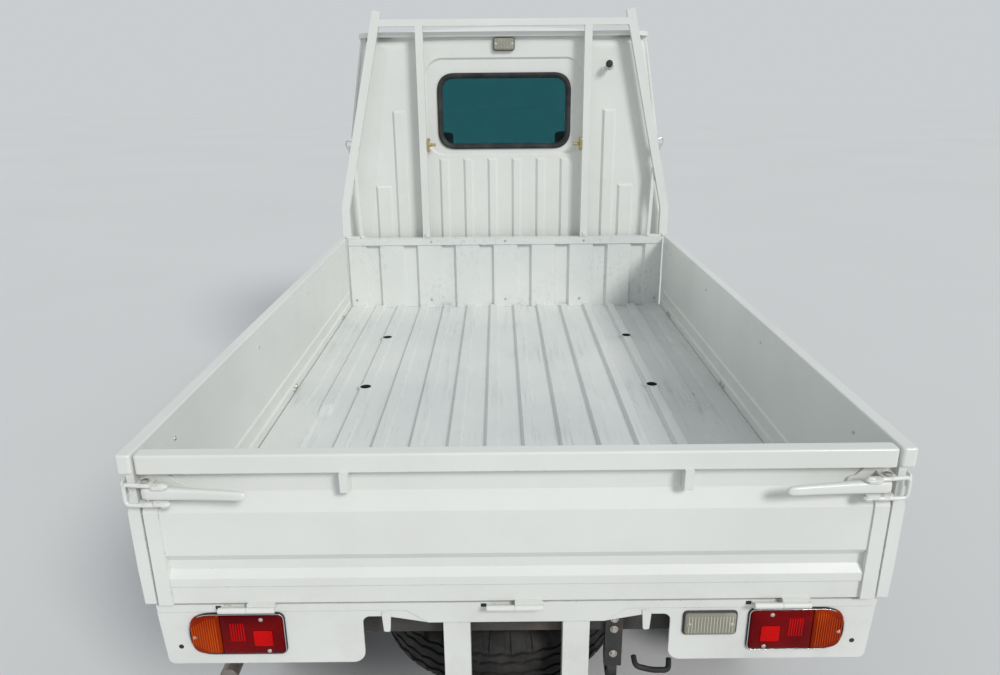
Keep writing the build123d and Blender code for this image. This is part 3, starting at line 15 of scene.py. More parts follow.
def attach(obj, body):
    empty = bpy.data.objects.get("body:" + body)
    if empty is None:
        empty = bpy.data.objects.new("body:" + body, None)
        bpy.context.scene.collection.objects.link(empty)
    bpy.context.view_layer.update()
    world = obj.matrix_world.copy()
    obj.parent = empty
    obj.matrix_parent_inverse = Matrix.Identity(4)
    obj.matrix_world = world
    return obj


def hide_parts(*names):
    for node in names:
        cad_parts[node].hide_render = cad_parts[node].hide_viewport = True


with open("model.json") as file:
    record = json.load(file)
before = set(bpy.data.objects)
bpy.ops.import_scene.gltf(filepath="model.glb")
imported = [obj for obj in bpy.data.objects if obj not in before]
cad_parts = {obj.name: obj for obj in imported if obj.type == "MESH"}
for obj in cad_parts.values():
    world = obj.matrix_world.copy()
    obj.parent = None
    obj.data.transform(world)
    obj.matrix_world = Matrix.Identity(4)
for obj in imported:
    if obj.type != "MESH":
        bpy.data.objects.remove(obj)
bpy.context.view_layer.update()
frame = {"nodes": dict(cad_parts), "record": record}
nodes = frame["nodes"]
scene = bpy.context.scene
scene.view_settings.view_transform = "Standard"


def add_object(name, data):
    made = bpy.data.objects.new(name, data)
    scene.collection.objects.link(made)
    return made


# Camera, set to the photograph

IMAGE_WIDTH, FOCAL_PIXELS, SENSOR, REACH = 1000, 753.0, 36.0, 200
CAMERA_PLACE = Vector((0.0271, 2.775, 1.5324))
PITCH, YAW, ROLL = radians(18.34), radians(0.03), radians(-0.526)


def make_camera():
    data = bpy.data.cameras.new("camera")
    data.sensor_width = SENSOR
    data.lens = FOCAL_PIXELS * SENSOR / IMAGE_WIDTH
    data.clip_end = REACH
    forward = Vector((-sin(YAW) * cos(PITCH), -cos(YAW) * cos(PITCH), -sin(PITCH)))
    level = forward.cross(Vector((0, 0, 1))).normalized()
    upright = level.cross(forward)
    right = cos(ROLL) * level + sin(ROLL) * upright
    up = cos(ROLL) * upright - sin(ROLL) * level
    turn = Matrix((right, up, -forward)).transposed()
    scene.camera = add_object("camera", data)
    scene.camera.matrix_world = Matrix.Translation(CAMERA_PLACE) @ turn.to_4x4()


make_camera()


# Materials

class Tree:
    """A shader node tree and short ways to add to it."""

    def __init__(self, tree):
        self.tree = tree

    def fill(self, node, inputs):
        """Sets each input to a number or colour, or links it to an output; None leaves it alone."""
        for key, value in inputs.items():
            target = node.inputs[key]
            if isinstance(value, bpy.types.NodeSocket):
                self.tree.links.new(value, target)
            elif hasattr(value, "__len__") and len(value) == 3 and len(target.default_value) == 4:
                target.default_value = (*value, 1)
            elif value is not None:
                target.default_value = value
        return node

    def add(self, kind, output, inputs, **settings):
        """Adds a node of a kind and gives one of its outputs."""
        node = self.tree.nodes.new("ShaderNode" + kind)
        for key, value in settings.items():
            setattr(node, key, value)
        return self.fill(node, inputs).outputs[output]


class Recipe(Tree):
    """One procedural material. Constants sit on the shader's own sockets, and only what varies is linked."""

    def __init__(self, name, roughness, metallic=0.0, coat=0.0, coat_roughness=0.1, transmission=0.0, ior=1.5,
                 sheen=0.0, specular=0.5):
        self.material = bpy.data.materials.new(name)
        self.material.use_nodes = True
        super().__init__(self.material.node_tree)
        self.shader = self.fill(self.tree.nodes["Principled BSDF"], {
            "Roughness": roughness, "Metallic": metallic, "Coat Weight": coat,
            "Coat Roughness": coat_roughness, "Transmission Weight": transmission, "IOR": ior,
            "Sheen Weight": sheen, "Specular IOR Level": specular})
        self.place = self.add("TexCoord", "Object", {})

    def noise(self, scale, detail=4.0, rough=0.55, stretch=None):
        place = self.place
        if stretch:
            place = self.add("Mapping", "Vector", {"Vector": place, "Scale": stretch})
        return self.add("TexNoise", "Fac", {"Vector": place, "Scale": scale, "Detail": detail,
                                            "Roughness": rough, "Distortion": 0.0})

    def spread(self, value, low, high, to_low=0.0, to_high=1.0):
        return self.add("MapRange", "Result", {"Value": value, "From Min": low, "From Max": high,
                                               "To Min": to_low, "To Max": to_high})

    def patches(self, scale, detail, low, high, to_low=0.0, to_high=1.0, rough=0.55, stretch=None):
        """Noise whose middle range is spread between two values."""
        return self.spread(self.noise(scale, detail, rough, stretch), low, high, to_low, to_high)

    def cells(self, scale, feature="F1"):
        return self.add("TexVoronoi", "Distance", {"Vector": self.place, "Scale": scale}, feature=feature)

    def bands(self, scale, axis="X"):
        return self.add("TexWave", "Fac", {"Vector": self.place, "Scale": scale, "Distortion": 0.0},
                        bands_direction=axis)

    def times(self, a, b):
        return self.add("Math", "Value", {0: a, 1: b}, operation="MULTIPLY")

    def mix(self, factor, a, b):
        return self.add("Mix", 2, {0: factor, 6: a, 7: b}, data_type="RGBA")

    def rounded(self, radius):
        return self.add("Bevel", "Normal", {"Radius": radius}, samples=4)

    def edges(self, radius):
        """Rises to 1 on edges sharper than the radius, where the rounded normal leaves the true one."""
        true = self.add("NewGeometry", "Normal", {})
        product = self.add("VectorMath", "Value", {0: self.rounded(radius), 1: true}, operation="DOT_PRODUCT")
        return self.spread(product, 0.97, 0.82)

    def bump(self, height, strength, distance, normal=None):
        return self.add("Bump", "Normal", {"Height": height, "Strength": strength, "Distance": distance,
                                           "Normal": normal})

    def done(self, colour, roughness=None, normal=None):
        self.fill(self.shader, {"Base Color": colour, "Roughness": roughness, "Normal": normal})
        return self.material


def white_paint():
    """Repainted body white: faint clouds, road film low down, chipped edges and a soft orange peel."""
    r = Recipe("white_paint", 0.36, coat=0.35, coat_roughness=0.12)
    colour = r.mix(r.patches(2.3, 5, 0.35, 0.7), (0.765, 0.775, 0.745), (0.70, 0.71, 0.68))
    low = r.spread(r.add("SeparateXYZ", "Z", {"Vector": r.place}), 0.72, 0.38, 0.12, 1.0)
    film = r.patches(7.0, 9, 0.46, 0.72, 0.0, 0.35, 0.68)
    colour = r.mix(r.times(low, film), colour, (0.33, 0.30, 0.25))
    chips = r.times(r.edges(0.003), r.patches(70, 4, 0.60, 0.66))
    colour = r.mix(r.times(chips, 0.7), colour, (0.24, 0.17, 0.12))
    specks = r.spread(r.cells(120), 0.045, 0.02, 0.0, 0.5)
    colour = r.mix(r.times(specks, r.patches(9, 2, 0.58, 0.66)), colour, (0.22, 0.18, 0.14))
    peel = r.bump(r.noise(260, 2), 0.06, 0.0006, r.rounded(0.0018))
    return r.done(colour, r.patches(11, 5, 0.3, 0.75, 0.28, 0.46), r.bump(r.noise(3.2, 2), 0.12, 0.012, peel))


def bed_paint():
    """The same white where loads have slid: grey scuffs along the bed, dull patches and bare flecks."""
    r = Recipe("bed_paint", 0.5, coat=0.12, coat_roughness=0.3)
    colour = r.mix(r.patches(1.9, 5, 0.35, 0.7), (0.74, 0.755, 0.735), (0.63, 0.66, 0.65))
    scuffs = r.patches(1.0, 8, 0.53, 0.70, 0.0, 0.6, 0.7, (46, 2.4, 46))
    patches = r.patches(3.4, 4, 0.42, 0.62)
    colour = r.mix(r.times(scuffs, patches), colour, (0.40, 0.45, 0.47))
    hairlines = r.patches(1.0, 3, 0.64, 0.70, 0.0, 0.45, 0.5, (420, 5, 420))
    colour = r.mix(r.times(hairlines, patches), colour, (0.28, 0.31, 0.33))
    flecks = r.times(r.spread(r.cells(55), 0.10, 0.05), r.patches(6, 2, 0.60, 0.66))
    colour = r.mix(flecks, colour, (0.12, 0.10, 0.09))
    edge = r.times(r.edges(0.004), r.patches(60, 4, 0.54, 0.62, 0.0, 0.6))
    colour = r.mix(edge, colour, (0.30, 0.29, 0.27))
    dents = r.bump(r.noise(14, 3), 0.10, 0.004, r.rounded(0.002))
    return r.done(colour, r.patches(9, 6, 0.3, 0.7, 0.38, 0.62), r.bump(scuffs, 0.15, 0.0006, dents))


def sooty_metal(name, base, dust, metallic, low, high, rust=0.35):
    """Underbody metal or paint, dusty on top of a rough coat, with rust where the coat has gone."""
    r = Recipe(name, 0.6, metallic=metallic)
    colour = r.mix(r.patches(5, 7, 0.38, 0.68, rough=0.6), base, dust)
    rusty = r.times(r.patches(13, 9, 0.55, 0.68, rough=0.7), rust)
    edge = r.times(r.edges(0.004), r.patches(40, 3, 0.45, 0.6, 0.0, rust))
    either = r.add("Math", "Value", {0: rusty, 1: edge}, operation="MAXIMUM")
    colour = r.mix(either, colour, (0.20, 0.085, 0.04))
    return r.done(colour, r.patches(17, 4, 0.3, 0.7, low, high),
                  r.bump(r.noise(90, 5), 0.25, 0.001, r.rounded(0.0015)))


def wheel_paint():
    r = Recipe("wheel_paint", 0.38, metallic=0.55)
    colour = r.mix(r.patches(8, 6, 0.4, 0.7), (0.55, 0.56, 0.57), (0.42, 0.42, 0.41))
    grime = r.patches(24, 8, 0.5, 0.75, 0.0, 0.6, 0.7)
    colour = r.mix(grime, colour, (0.20, 0.17, 0.14))
    colour = r.mix(r.times(r.edges(0.003), 0.5), colour, (0.22, 0.15, 0.10))
    return r.done(colour, r.spread(grime, 0, 0.6, 0.32, 0.6),
                  r.bump(r.noise(160, 3), 0.12, 0.0005, r.rounded(0.0015)))


def rubber(name, base, dusty, roughness=0.78):
    r = Recipe(name, roughness, specular=0.35)
    colour = r.mix(r.patches(14, 8, 0.42, 0.72, 0.0, 0.75, 0.66), base, dusty)
    return r.done(colour, r.patches(30, 3, 0.3, 0.7, roughness - 0.12, roughness + 0.1),
                  r.bump(r.noise(320, 4), 0.22, 0.0005))


def moulded_plastic(name, base, faded, roughness=0.55):
    """Grained plastic: fine leathery pores, sun-faded patches and polished edges."""
    r = Recipe(name, roughness)
    colour = r.mix(r.patches(3.5, 5, 0.35, 0.7), base, faded)
    colour = r.mix(r.patches(22, 8, 0.55, 0.8, 0.0, 0.35, 0.7), colour, (0.30, 0.27, 0.23))
    return r.done(colour, r.patches(12, 4, 0.3, 0.7, roughness - 0.1, roughness + 0.1),
                  r.bump(r.cells(420, "SMOOTH_F1"), 0.22, 0.0006, r.rounded(0.0015)))


def seat_vinyl():
    """Seat cover: fine woven panels in two greys, worn paler where people slide in."""
    r = Recipe("seat_cover", 0.72, sheen=0.25)
    weave = r.times(r.bands(190), r.bands(190, "Y"))
    colour = r.mix(weave, (0.13, 0.135, 0.145), (0.24, 0.245, 0.26))
    colour = r.mix(r.patches(6, 5, 0.42, 0.75, 0.0, 0.5), colour, (0.34, 0.33, 0.32))
    fold = r.bump(r.noise(18, 4), 0.18, 0.004)
    return r.done(colour, r.patches(40, 3, 0.3, 0.7, 0.62, 0.82), r.bump(weave, 0.3, 0.0005, fold))


def tinted_glass(name, tint, smear=(0.0, 0.12), ior=1.45):
    """Car glass, green-blue in the body, with a film of dust that dulls it in patches."""
    r = Recipe(name, 0.02, transmission=1.0, ior=ior)
    colour = r.mix(r.patches(5, 7, 0.45, 0.8, *smear, 0.6), tint, (0.62, 0.62, 0.58))
    return r.done(colour, r.patches(7, 6, 0.5, 0.85, 0.01, 0.10))


def lens(name, clear, deep, ribs=150, axis="X", crossed=False):
    """Moulded lamp plastic: painted highlights along the fine ribs seen inside, and painted light where the
    bowl behind it would gather light; clear is the painted lit colour and deep the painted shade.
    """
    r = Recipe(name, 0.12, ior=1.45, specular=0.10)
    # Painted light: bright bands along the ribs and in patches where the bowl would gather light, over deep as
    # painted shade.
    rib_highlights = r.spread(r.bands(ribs, axis), 0.2, 0.9)
    if crossed:
        rib_highlights = r.times(rib_highlights, r.spread(r.bands(ribs, "Z"), 0.1, 0.8))
    colour = r.mix(r.times(rib_highlights, r.patches(11, 1, 0.42, 0.66, rough=0.4)), deep, clear)
    colour = r.mix(r.patches(30, 6, 0.66, 0.9, 0.0, 0.1), colour, (0.16, 0.12, 0.09))
    return r.done(colour, r.patches(15, 3, 0.4, 0.8, 0.08, 0.22), r.bump(r.bands(ribs, axis), 0.3, 0.0008))


def fluted_glass(name):
    """Headlamp glass: clear, with broad upright flutes that bend what is behind them."""
    r = Recipe(name, 0.03, transmission=1.0, ior=1.35)
    colour = r.mix(r.patches(9, 6, 0.5, 0.8, 0.0, 0.25), (0.93, 0.95, 0.95), (0.72, 0.72, 0.68))
    return r.done(colour, r.patches(7, 6, 0.5, 0.85, 0.02, 0.09), r.bump(r.bands(42), 0.5, 0.003))


def bare_metal(name, base, stain, roughness=0.34, stained=0.4):
    r = Recipe(name, roughness, metallic=1.0)
    colour = r.mix(r.patches(26, 7, 0.45, 0.75, 0.0, stained, 0.65), base, stain)
    return r.done(colour, r.patches(60, 4, 0.3, 0.7, roughness - 0.08, roughness + 0.14),
                  r.bump(r.noise(240, 3), 0.12, 0.0003))


PAINT = white_paint()
BED = bed_paint()
CHASSIS = sooty_metal("chassis_black", (0.020, 0.021, 0.023), (0.062, 0.057, 0.050), 0.0, 0.45, 0.75)
ENGINE = sooty_metal("engine_cast", (0.24, 0.24, 0.235), (0.12, 0.105, 0.09), 0.6, 0.42, 0.7, 0.2)
EXHAUST = sooty_metal("exhaust_steel", (0.36, 0.34, 0.31), (0.22, 0.18, 0.14), 0.8, 0.35, 0.62, 0.7)
ZINC = bare_metal("zinc_plate", (0.62, 0.60, 0.55), (0.34, 0.28, 0.18))
BRASS = bare_metal("yellow_zinc", (0.56, 0.46, 0.24), (0.28, 0.20, 0.10))
BRIGHT = bare_metal("bright_steel", (0.72, 0.72, 0.71), (0.38, 0.34, 0.30), 0.22, 0.25)
CHROME = bare_metal("lamp_reflector", (0.86, 0.86, 0.85), (0.55, 0.52, 0.47), 0.12, 0.2)
WHEEL = wheel_paint()
TYRE = rubber("tyre_rubber", (0.014, 0.014, 0.015), (0.056, 0.051, 0.045))
RUBBER = rubber("black_rubber", (0.016, 0.017, 0.019), (0.06, 0.058, 0.055), 0.62)
BLACK_PLASTIC = moulded_plastic("black_plastic", (0.026, 0.027, 0.029), (0.055, 0.056, 0.058))
DARK_PLASTIC = moulded_plastic("dash_plastic", (0.045, 0.047, 0.052), (0.075, 0.077, 0.082), 0.6)
GREY_PLASTIC = moulded_plastic("grey_plastic", (0.21, 0.215, 0.225), (0.28, 0.28, 0.285), 0.5)
FLOOR_MAT = moulded_plastic("cab_floor_paint", (0.40, 0.41, 0.405), (0.30, 0.30, 0.295), 0.6)
SEAT = seat_vinyl()
WINDOW = tinted_glass("window_glass", (0.50, 0.68, 0.66))
# Rear glass tinted dark teal as a painted reflection of dark green surroundings; its low IOR keeps the real
# reflection faint.
REAR_WINDOW_PAINTED_REFLECTION = tinted_glass("rear_window_glass_painted_reflection", (0.035, 0.21, 0.245), (0.0, 0.03), 1.22)
# Each lens below is opaque: its first colour is painted light and its second painted shade (see lens).
RED_LENS = lens("red_lens", (0.27, 0.0010, 0.0020), (0.080, 0.0004, 0.0020))
AMBER_LENS = lens("amber_lens", (0.42, 0.045, 0.0010), (0.21, 0.013, 0.0005))
# A brighter copy of the amber lens for its raised ribs: painted highlights.
AMBER_RIB_HIGHLIGHT = lens("amber_rib_highlight", (0.74, 0.120, 0.0030), (0.45, 0.046, 0.0010), ribs=300)
CLEAR_LENS = lens("clear_lens", (0.80, 0.79, 0.73), (0.27, 0.26, 0.21), ribs=110, crossed=True)
# A brighter copy of the clear lens for its raised ribs: painted highlights.
CLEAR_RIB_HIGHLIGHT = lens("clear_rib_highlight", (0.92, 0.92, 0.88), (0.52, 0.51, 0.45), ribs=200, axis="Z")
HEAD_LENS = fluted_glass("headlamp_glass")
MIRROR = bare_metal("mirror_silver", (0.82, 0.84, 0.85), (0.60, 0.60, 0.58), 0.05, 0.15)
GAUGE = moulded_plastic("gauge_faces", (0.62, 0.62, 0.60), (0.50, 0.50, 0.48), 0.4)
REFLEX = lens("red_reflex", (0.84, 0.0015, 0.0015), (0.36, 0.0008, 0.0015), ribs=260)

SLOT_FINISH = {
    "white_paint": PAINT, "cab_floor_paint": FLOOR_MAT, "chassis_black": CHASSIS, "engine_metal": ENGINE,
    "exhaust_steel": EXHAUST, "wheel_silver": WHEEL, "tyre_rubber": TYRE, "black_rubber": RUBBER,
    "black_plastic": BLACK_PLASTIC, "dark_plastic": DARK_PLASTIC, "grey_plastic": GREY_PLASTIC,
    "seat_vinyl": SEAT, "clear_glass": WINDOW, "lamp_clear": CLEAR_LENS, "lamp_red": RED_LENS,
}
NODE_FINISH = {"bed_floor": BED, "headboard": BED, "rear_window": REAR_WINDOW_PAINTED_REFLECTION}


def dress_nodes():
    for part in frame["record"]["subparts"]:
        finish = NODE_FINISH.get(part["node"], SLOT_FINISH[part["material_slot"]])
        for place in range(len(nodes[part["node"]].data.materials)):
            nodes[part["node"]].data.materials[place] = finish


dress_nodes()


# Mesh kit. Places and sizes are given in millimetres

MM = 0.001
OUT, INWARD, BACK, AHEAD, UP, DOWN = (1, 0, 0), (-1, 0, 0), (0, 1, 0), (0, -1, 0), (0, 0, 1), (0, 0, -1)
WORDS = {1: "left", -1: "right"}
OWN_SLOT = {finish.name: slot for slot, finish in SLOT_FINISH.items()}
SHARP = radians(32)
MITRE = 0.49
TINY = 1e-6


def polar(radius, angle):
    return radius * cos(angle), radius * sin(angle)


def rect(u0, v0, u1, v1, inset=0):
    """A rectangle's corners, drawn in by an inset."""
    return [(u0 + inset, v0 + inset), (u1 - inset, v0 + inset), (u1 - inset, v1 - inset),
            (u0 + inset, v1 - inset)]


def bowed(before, here, after, reach_back, reach_forth, steps):
    """An arc that cuts a corner, from a reach before it to a reach after it."""
    ends = ((before, reach_back), (after, reach_forth))
    start, stop = (here + (end - here).normalized() * reach for end, reach in ends)
    shares = [k / steps for k in range(steps + 1)]
    return [start * (1 - t) ** 2 + here * 2 * t * (1 - t) + stop * t ** 2 for t in shares]


def corner_rounded(points, radius, steps=4):
    """A flat outline with each corner turned into a short arc."""
    found = []
    count = len(points)
    radii = radius if hasattr(radius, "__len__") else [radius] * count
    for k in range(count):
        here, before, after = (Vector(points[j % count]) for j in (k, k - 1, k + 1))
        back, forth = before - here, after - here
        half_turn = back.angle(forth) / 2
        reach = min(radii[k] / max(abs(sin(half_turn) / cos(half_turn)), TINY), back.length * MITRE,
                    forth.length * MITRE)
        found += [tuple(point) for point in bowed(before, here, after, reach, reach, steps)]
    return found


def divided(outline, steps_for):
    """An outline with points added along its edges; steps_for gives an edge's count."""
    found = []
    for k, (x, z) in enumerate(outline):
        u, v = outline[(k + 1) % len(outline)]
        steps = steps_for(k, hypot(u - x, v - z))
        found += [(x + (u - x) * j / steps, z + (v - z) * j / steps) for j in range(steps)]
    return found


def lifted(axis, outline, level):
    """A flat outline in the plane across an axis, at a level along it."""
    return [{"x": (level, u, v), "y": (u, level, v), "z": (u, v, level)}[axis] for u, v in outline]


class Shape:
    """Gathers closed forms into one piece; a side mirrors them and ends the piece's name."""

    def __init__(self, side=None):
        self.mesh = bmesh.new()
        self.sign = side or 1
        self.ending = f"_{WORDS[side]}" if side else ""

    def skin(self, loops, ring=False, caps=True):
        """Skins equally long loops one after another."""
        rows = [[self.mesh.verts.new((self.sign * x * MM, y * MM, z * MM)) for x, y, z in loop]
                for loop in loops]
        for one, two in zip(rows, rows[1:] + rows[:1] if ring else rows[1:]):
            for k in range(len(one)):
                self.mesh.faces.new((one[k - 1], one[k], two[k], two[k - 1]))
        if caps and not ring:
            self.mesh.faces.new(rows[0])
            self.mesh.faces.new(rows[-1])

    def block(self, low, high):
        (x0, y0, z0), (x1, y1, z1) = low, high
        self.skin([lifted("z", rect(x0, y0, x1, y1), z) for z in (z0, z1)])

    def slab(self, axis, points, low, high, radius=0, inset=0.0):
        """An outline across an axis, given thickness; inset slopes the far end in towards its centre."""
        flat = corner_rounded(points, radius) if radius else points
        middle = [sum(p[k] for p in flat) / len(flat) for k in (0, 1)]
        loops = []
        for level, shrink in ((low, 0.0), (high, inset)):
            drawn = []
            for u, v in flat:
                reach = max(hypot(u - middle[0], v - middle[1]), TINY)
                drawn.append((u - (u - middle[0]) * shrink / reach, v - (v - middle[1]) * shrink / reach))
            loops.append(lifted(axis, drawn, level))
        self.skin(loops)

    def frame_strip(self, axis, outer, inner, low, high):
        """A flat ring between two outlines of as many points."""
        corners = ((outer, low), (outer, high), (inner, high), (inner, low))
        self.skin([lifted(axis, *corner) for corner in corners], ring=True)

    def turned(self, profile, place, along, sides=32, ring=False, start=0.0):
        """A profile of (radius, height) turned about a direction."""
        stand = Matrix.Translation(place) @ Vector(along).to_track_quat("Z", "Y").to_matrix().to_4x4()
        self.skin([[stand @ Vector((*polar(max(radius, 0.01), start + 2 * pi * k / sides), height))
                    for k in range(sides)] for radius, height in profile], ring=ring)

    def rod(self, a, b, radius, sides=16, end=None):
        a, b = Vector(a), Vector(b)
        self.turned([(radius, 0), (radius if end is None else end, (b - a).length)], a, b - a, sides)

    def tube(self, points, radius, sides=10, ring=False, flat=1.0):
        """A round or flattened bar along a path, its frame carried from point to point."""
        points = [Vector(p) for p in points]
        count = len(points)
        loops = []
        up = None
        for k, here in enumerate(points):
            if ring:
                before, after = k - 1, (k + 1) % count
            else:
                before, after = max(k - 1, 0), min(k + 1, count - 1)
            way = (points[after] - points[before]).normalized()
            if up is None:
                up = way.orthogonal().normalized() if abs(way.z) > 0.9 else Vector(UP)
            up = (up - way * up.dot(way)).normalized()
            across = way.cross(up)
            loops.append([here + across * u + up * (v * flat) for u, v in
                          (polar(radius, 2 * pi * j / sides) for j in range(sides))])
        self.skin(loops, ring=ring)

    def bend(self, points, radius, bow, sides=10, steps=5):
        """A tube through corners, each rounded with a bow."""
        points = [Vector(p) for p in points]
        path = points[:1]
        for before, here, after in zip(points, points[1:], points[2:]):
            reaches = [min(bow, (end - here).length * MITRE) for end in (before, after)]
            path += bowed(before, here, after, *reaches, steps)
        self.tube(path + points[-1:], radius, sides)

    def hex_bolt(self, place, along, across, high, washer):
        """A bolt head with a flange and a chamfered crown."""
        self.turned([(washer, 0), (washer, 1.4), (across * 0.45, 1.6)], place, along, 20)
        apex = across * 0.577
        self.turned([(apex, 1.2), (apex, high * 0.8), (apex * 0.82, high)], place, along, 6)

    def screw(self, place, along, radius):
        """A pan head with a socket in its crown."""
        self.turned([(radius, -0.4), (radius, 0.5), (radius * 0.86, radius * 0.34),
                     (radius * 0.45, radius * 0.46), (radius * 0.34, radius * 0.44),
                     (radius * 0.30, radius * 0.12)], place, along, 14)

    def weld(self, start, stop, radius, pitch=4.0):
        """A bead of overlapping ripples from one place to another."""
        start, stop = Vector(start), Vector(stop)
        steps = max(int((stop - start).length / pitch) * 2, 2)
        way = (stop - start).normalized()
        side_way = way.cross(Vector(UP)).normalized()
        over = way.cross(side_way)
        self.skin([[start.lerp(stop, k / steps) + side_way * u + over * v for u, v in
                    (polar(radius * (1.0 if k % 2 else 0.78), 2 * pi * j / 8) for j in range(8))]
                   for k in range(steps + 1)])

    def done(self, name, finish, slot=None, body="chassis", bevel=0.0, replaces=(), smooth=38):
        """Makes the object, rounds its edges and hands it to its body."""
        name += self.ending
        bmesh.ops.recalc_face_normals(self.mesh, faces=self.mesh.faces[:])
        data = bpy.data.meshes.new(name)
        self.mesh.to_mesh(data)
        self.mesh.free()
        data.materials.append(finish)
        data.shade_smooth()
        data.set_sharp_from_angle(angle=radians(smooth))
        piece = add_object(name, data)
        if bevel:
            rounding = piece.modifiers.new("rounding", "BEVEL")
            rounding.width = bevel * MM
            rounding.segments = 2
            rounding.limit_method = "ANGLE"
            rounding.angle_limit = SHARP
            rounding.harden_normals = True
        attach(piece, body)
        slot or OWN_SLOT[finish.name]
        if replaces:
            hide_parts(*replaces)


def mirrored(make):
    """Makes pieces on the left and then on the right."""
    for side in WORDS:
        make(side)


SKINS = {}


def touch(names, place, way):
    """Where a line of sight first meets the named nodes, or None."""
    if names not in SKINS:
        points, faces = [], []
        for name in names:
            start = len(points)
            points += [vertex.co.copy() for vertex in nodes[name].data.vertices]
            faces += [[start + i for i in face.vertices] for face in nodes[name].data.polygons]
        SKINS[names] = BVHTree.FromPolygons(points, faces)
    hit = SKINS[names].ray_cast(Vector(place) * MM, Vector(way))[0]
    return None if hit is None else hit / MM


# Tyres and wheels

AXLE = {"front": -982.5, "rear": 902.5}
WHEEL_X, HUB_Z = 602.5, 270.0
SPARE_PLACE = (30.0, 1274.5, 420.0)
TREAD_BLOCKS = 38
# One half of a tyre's section from bead to crown: radius, distance across, kind
# kinds: 0 plain, 1 cut by the shoulder slots, 2 moved by the grooves' zigzag
TYRE_HALF = [(152.8, 46, 0), (152.8, 55.6, 0), (158, 60.4, 0), (165, 64.6, 0), (170.8, 67.5, 0),
             (175, 67.6, 0), (180, 68.6, 0), (191, 70.6, 0), (196, 71.2, 0), (197.5, 72.2, 0),
             (208, 72.5, 0), (222, 71.8, 0), (236, 69.6, 0), (247, 66.0, 1), (256, 61.0, 1), (264, 53.5, 1),
             (267.6, 46.5, 1), (268.6, 41, 1), (268.9, 36.5, 2), (263.0, 35.3, 2), (262.6, 30.6, 2),
             (269.2, 29.4, 2), (269.6, 16.6, 2), (263.4, 15.4, 2), (263.4, 10.6, 2), (269.9, 9.4, 2),
             (270.0, 0, 3)]
SLOT_DEPTH, ZIGZAG, GROOVES_PART = 5.5, 2.6, 20
# Stations of one tread block: share of its length, whether slotted, how far the zig has gone
STATIONS = ((0.0, 0, 0.0), (0.5, 0, 1.0), (0.66, 0, 0.5), (0.70, 1, 0.4), (0.93, 1, 0.1), (0.97, 0, 0.05))


def tyre_loops():
    """Section loops round the tyre; each block of tread has one slot and one zig of the grooves."""
    whole = TYRE_HALF + [(r, -a, kind) for r, a, kind in reversed(TYRE_HALF[:-1])]
    for block in range(TREAD_BLOCKS):
        for share, slotted, zig in STATIONS:
            loop = []
            for radius, across, kind in whole:
                if kind == 1 and slotted:
                    radius -= SLOT_DEPTH
                if kind == 2:
                    across += ZIGZAG * (2 * zig - 1) * (1 if abs(across) > GROOVES_PART else -1)
                loop.append((radius, across))
            yield 2 * pi * (block + share) / TREAD_BLOCKS, loop


def make_tyre(name, centre, upright, body, node):
    x, y, z = centre
    shape = Shape()
    loops = []
    for angle, loop in tyre_loops():
        turns = [(*polar(r, angle), a) for r, a in loop]
        loops.append([(x + a, y + u, z + v) if upright else (x + u, y + v, z + a) for u, v, a in turns])
    shape.skin(loops, ring=True)
    shape.done(name, TYRE, body=body, replaces=[node], smooth=28)


def make_wheel_trim(side):
    for end, y in AXLE.items():
        word = f"{end}_{WORDS[side]}"
        body = f"wheel_{word}"
        make_tyre(f"tyre_tread_{word}", (side * WHEEL_X, y, HUB_Z), True, body, f"tyre_{word}")
        shape = Shape(side)
        for k in range(4):
            across, up = polar(50, radians(90 * k + 45))
            place = (WHEEL_X + 31, y + across, HUB_Z + up)
            shape.turned([(15, 0), (15, 2), (13.5, 5), (12.1, 5.2)], place, OUT, 24)
            shape.turned([(12.1, 4), (12.1, 15), (10.2, 17.5), (8.0, 18.0), (6.4, 19.4), (2.5, 20.6)],
                         place, OUT, 6)
        shape.done(f"wheel_nuts_{end}", ZINC, "wheel_silver", body, bevel=0.5)
        shape = Shape(side)
        shape.turned([(57, 19), (58.5, 24), (55, 33), (48, 36), (40, 36), (36, 38), (35, 49), (31, 55),
                      (18, 58.5), (4, 59.5)], (WHEEL_X, y, HUB_Z), OUT, 48)
        shape.done(f"hub_cap_{end}", CHASSIS if end == "rear" else WHEEL, "wheel_silver", body, bevel=0.6)
        shape = Shape(side)
        shape.rod((WHEEL_X + 22, y, HUB_Z + 127), (WHEEL_X + 56, y, HUB_Z + 120), 4.6, 14, 4.0)
        shape.rod((WHEEL_X + 54, y, HUB_Z + 120.5), (WHEEL_X + 61, y, HUB_Z + 119), 5.2, 14, 4.6)
        shape.done(f"valve_stem_{end}", RUBBER, body=body, bevel=0.5)
        shape = Shape(side)
        for start in (200, 225 if end == "rear" else 330):
            shape.skin([[(WHEEL_X + a, y + r * cos(t), HUB_Z + r * sin(t)) for r, a in
                         ((146, 55), (152, 56), (156, 60), (160.5, 61.8), (153, 61.8), (147, 58.6))]
                        for t in (radians(start + 2.2 * k) for k in range(9))])
        shape.done(f"balance_weights_{end}", ZINC, "wheel_silver", body, bevel=0.4)


mirrored(make_wheel_trim)
make_tyre("tyre_tread_spare", SPARE_PLACE, False, "chassis", "spare_tyre")


# Tail lamps: amber outside, red inside, on a chromed reflector in a dark gasket

PANEL_Y = 1593.5
LAMP_IN, LAMP_OUT, LAMP_LOW, LAMP_HIGH, LAMP_SPLIT = 437.0, 620.0, 508.5, 601.5, 559.0
LENS_BACK_Y, LENS_FACE_Y, LENS_RISE, LENS_INSET = PANEL_Y - 7.5, PANEL_Y + 6.6, 1.4, 3.6


def lamp_outline(inset, low_x=LAMP_IN, high_x=LAMP_OUT, inner=14.0, outer=44.0):
    radii = [max(r - inset, 2) for r in (inner, outer, outer, inner)]
    return corner_rounded(rect(low_x, LAMP_LOW, high_x, LAMP_HIGH, inset), radii, 7)


